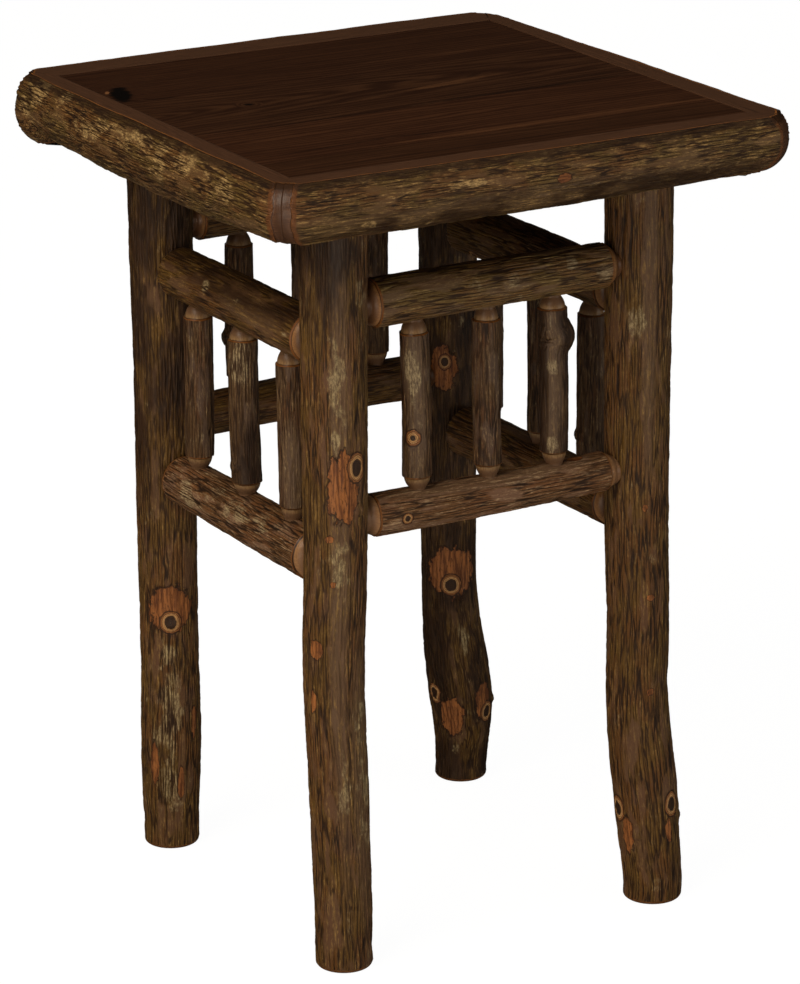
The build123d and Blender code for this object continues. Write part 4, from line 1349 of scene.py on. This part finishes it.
# %% Make the logs
log_relief = 1.9 * mm
made_points = 0
for number, side in enumerate(side_corners):
    shift = (2.3 + 0.7 * number, 1.1, 0.9 * number)
    mesh = edge_log(side, 11 + number)
    spots = np.zeros(len(mesh.vertices) * 3, np.float32)
    mesh.attributes["bark_place"].data.foreach_get("vector", spots)
    mesh.attributes["bark_place"].data.foreach_set(
        "vector", (spots.reshape(-1, 3) + np.array(shift, np.float32)).ravel())
    piece = bpy.data.objects.new(side + "_edge_log_bark", mesh)
    bpy.context.scene.collection.objects.link(piece)
    run_tree(piece, skin_tree, {
        "Ridge Width": log_ridge, "Relief": log_relief, "Bark": edge_bark})
    for vertex in piece.data.vertices:
        vertex.co.z = min(vertex.co.z, table_top)
    paint_marks(piece, shift, marks.get(side + "_edge_log", []))
    dress(piece, side + "_edge_log")
    made_points += len(piece.data.vertices)
print("4 edge logs,", made_points, "points")

# %% [markdown]
# ## Boards
# The boards are flat, so their solids stay and only the finish is made here: a
# dark walnut stain under satin lacquer, which sinks into the open pores and leaves
# the grain low in contrast. Each board gets its own cut of grain. Growth rings are
# cut lengthwise, which draws long streaks along X and, where a ring just touches
# the face, a long arch. Knots push the rings aside, so both are worked out as one
# pattern on the boards' own coordinates.

# %% Ovals on a board
def oval(tree, spot, place, halves, turn):
    """Distance from the middle of a turned oval, seen from above, 1 at its rim."""
    ahead, aside = cos(radians(turn)), sin(radians(turn))
    from_middle = add(
        tree, "ShaderNodeVectorMath", spot, (place[0] * mm, place[1] * mm, 0),
        operation="SUBTRACT")
    shares = [
        add(tree, "ShaderNodeVectorMath", from_middle, way, operation="DOT_PRODUCT")
        for way in (
            (ahead / halves[0] / mm, aside / halves[0] / mm, 0),
            (-aside / halves[1] / mm, ahead / halves[1] / mm, 0))]
    on_face = add(tree, "ShaderNodeCombineXYZ", *shares)
    return add(tree, "ShaderNodeVectorMath", on_face, operation="LENGTH")


# %% Board material
pore_tone = "#1a0e07"
ring_width = 7.0 * mm
arch_tip = -0.24                # where the arches begin, in metres along X
pore_size = 0.5 * mm            # coarser than a real pore, so that it shows
feature_tones = {"knot": "#070403", "dark": "#190d07", "pale": "#8a5c38"}


def board_material(name, seed, dark, light, heart, arch_slope, features):
    """Stained plain-sawn board with its grain along X."""
    material, tree = new_material(name)
    spot = add(tree, "ShaderNodeTexCoord").outputs["Object"]
    x, y, _ = add(tree, "ShaderNodeSeparateXYZ", spot).outputs
    seeded = add(tree, "ShaderNodeVectorMath", spot, (seed, 0, 0), operation="ADD")

    # rings: nested arches whose tips point along the board, pushed round knots
    from_heart = add(tree, "ShaderNodeMath", y, heart * mm, operation="SUBTRACT")
    past_tip = add(tree, "ShaderNodeMath", x, arch_tip, operation="SUBTRACT")
    opened = add(tree, "ShaderNodeMath", past_tip, arch_slope * mm, operation="MULTIPLY")
    arch = add(
        tree, "ShaderNodeMath", from_heart, from_heart, opened, operation="MULTIPLY_ADD")
    arch = add(tree, "ShaderNodeMath", arch, operation="SQRT")
    sway = mottle(tree, seeded, (9, 1, 1), 24 * mm)
    turn = add(tree, "ShaderNodeMath", arch, ring_width, operation="DIVIDE")
    turn = add(tree, "ShaderNodeMath", sway, 3.2, turn, operation="MULTIPLY_ADD")
    for kind, place, halves, angle, strength in features:
        if kind == "knot":          # its push reaches well past it
            pushed_halves = [half * 2.4 + 4 for half in halves]
            push = add(
                tree, "ShaderNodeMapRange", oval(tree, spot, place, pushed_halves, angle),
                1.0, 0.2, 0.0, 2.2, interpolation_type="SMOOTHSTEP")
            turn = add(tree, "ShaderNodeMath", turn, push, operation="ADD")

    # stain: darker in the open grain and in wide bands, nearly black in the pores
    fine = mottle(tree, seeded, (16, 1, 1), 1.2 * mm, 5.0, 0.65)
    bands = mottle(tree, seeded, (9, 1, 1), 15 * mm, 3.0)
    pores = mottle(tree, seeded, (26, 1, 1), pore_size, 2.0, 0.7)
    grain = add(tree, "ShaderNodeMix", 0.7, growth_rings(tree, turn), fine)
    colour = coat(tree, dye(dark), dye(light), grain, 0.28, 0.75)
    colour = coat(tree, colour, dye(dark), bands, 0.55, 0.32, 0.5)
    colour = coat(tree, colour, dye(pore_tone), pores, 0.38, 0.28, 0.6)

    # knots and streaks, with frayed rims
    frayed = mottle(tree, seeded, (3, 1, 1), 5 * mm, 3.0)
    frayed = add(tree, "ShaderNodeMath", frayed, 0.9, -0.45, operation="MULTIPLY_ADD")
    for kind, place, halves, angle, strength in features:
        reach = oval(tree, spot, place, halves, angle)
        reach = add(tree, "ShaderNodeMath", reach, frayed, operation="ADD")
        colour = coat(tree, colour, dye(feature_tones[kind]), reach, 1.05, 0.6, strength)

    closed = add(
        tree, "ShaderNodeMapRange", pores, 0.3, 0.4, interpolation_type="SMOOTHSTEP")
    height = add(tree, "ShaderNodeMath", fine, closed, operation="ADD")
    bump = add(tree, "ShaderNodeBump", {
        "Height": height, "Strength": 0.25, "Distance": 0.3 * mm})
    shader = add(tree, "ShaderNodeBsdfPrincipled", {
        "Base Color": colour, "Roughness": 0.42, "Normal": bump,
        "Specular IOR Level": 0.1})
    add(tree, "ShaderNodeOutputMaterial", shader)
    return material


# %% Finish on a solid
def finish_node(node, material):
    """Put a finish on a solid that stays."""
    mesh = nodes[node].data
    mesh.materials.clear()
    mesh.materials.append(material)


# %% [markdown]
# What each board shows: knots, dark streaks and pale ones, with their
# middle, half length and half width in millimetres, turn in degrees and strength.
# Every board also has its own two tones, the line of its heart, and how fast its
# arches open.

# %% Boards, from front to back
board_features = (
    [("dark", (-60, -215), (170, 2.0), 0.5, 0.5)],
    [("dark", (-145, -154), (85, 1.3), 3.5, 0.95), ("dark", (-62, -153), (44, 1.6), -7, 0.95),
     ("pale", (80, -170), (200, 7.0), 0.6, 0.12), ("dark", (-90, -60), (150, 2.4), 1.0, 0.8)],
    [("knot", (-137, 24), (4.5, 3.2), -12, 0.9), ("dark", (-10, 67), (17, 1.4), 0, 0.8),
     ("dark", (180, -35), (60, 1.8), 1, 0.7), ("dark", (112, -52), (135, 3.2), 1, 0.8),
     ("dark", (98, 22), (13, 3.6), 25, 0.5), ("dark", (20, 36), (60, 2.0), -14, 0.45),
     ("dark", (-60, -12), (170, 1.6), 11, 0.45), ("pale", (60, 4), (60, 6), 8, 0.16)],
    [("knot", (-218, 119), (33, 11.5), 69, 1.0), ("dark", (-192, 85), (20, 2.0), -3, 0.9),
     ("pale", (130, 115), (110, 2.4), 0, 0.1), ("knot", (231, 183), (3.5, 3.5), 0, 0.9),
     ("dark", (-5, 142), (34, 1.4), 0, 0.5), ("pale", (-226, 131), (6, 2.4), 60, 0.6)])
board_looks = (                 # dark, light, heart and slope of its arches, in mm
    ("#29160a", "#422817", -300, 1.0), ("#2b160b", "#462a18", -20, 1.0),
    ("#27140a", "#412817", 23, 5.1), ("#27140a", "#3e2515", 290, 1.0))
for number, (features, looks) in enumerate(zip(board_features, board_looks), start=1):
    finish_node(f"top_board_{number}", board_material(
        f"walnut_stain_{number}", 1.7 * number, *looks, features))
print("4 boards finished")

# %% [markdown]
# ## Battens and screws
# Both are under the top, where nobody looks for long. The battens are plain sawn
# wood, stained brown, with fibres along Y. The screws are steel with zinc plate,
# which blooms to a dull grey in patches. Their solids stay, and get these finishes.

# %% Battens
batten_stain, tree = new_material("batten_stain")
spot = add(tree, "ShaderNodeTexCoord").outputs["Object"]
fine = mottle(tree, spot, (1, 16, 1), 1.6 * mm, 4.0, 0.6)
bands = mottle(tree, spot, (1, 9, 1), 14 * mm)
colour = coat(tree, dye("#3a2415"), dye("#5b3c24"), fine, 0.3, 0.7)
colour = coat(tree, colour, dye("#2f1d11"), bands, 0.45, 0.65, 0.5)
bump = add(tree, "ShaderNodeBump", {"Height": fine, "Strength": 0.4, "Distance": 0.4 * mm})
shader = add(tree, "ShaderNodeBsdfPrincipled", {
    "Base Color": colour, "Roughness": 0.55, "Normal": bump, "Specular IOR Level": 0.3})
add(tree, "ShaderNodeOutputMaterial", shader)
for hand in ("left", "right"):
    finish_node("batten_" + hand, batten_stain)
print("2 battens finished")

# %% Screws
zinc, tree = new_material("zinc_plate")
spot = add(tree, "ShaderNodeTexCoord").outputs["Object"]
bloom = mottle(tree, spot, (1, 1, 1), 2 * mm, 3.0)
grey = add(tree, "ShaderNodeMix", bloom, dye("#8f8a78"), dye("#b9b6aa"), data_type="RGBA")
gloss = add(tree, "ShaderNodeMath", bloom, 0.25, 0.25, operation="MULTIPLY_ADD")
shader = add(tree, "ShaderNodeBsdfPrincipled", {
    "Base Color": grey, "Metallic": 1.0, "Roughness": gloss})
add(tree, "ShaderNodeOutputMaterial", shader)
finish_node("batten_screws", zinc)
print("screws finished")
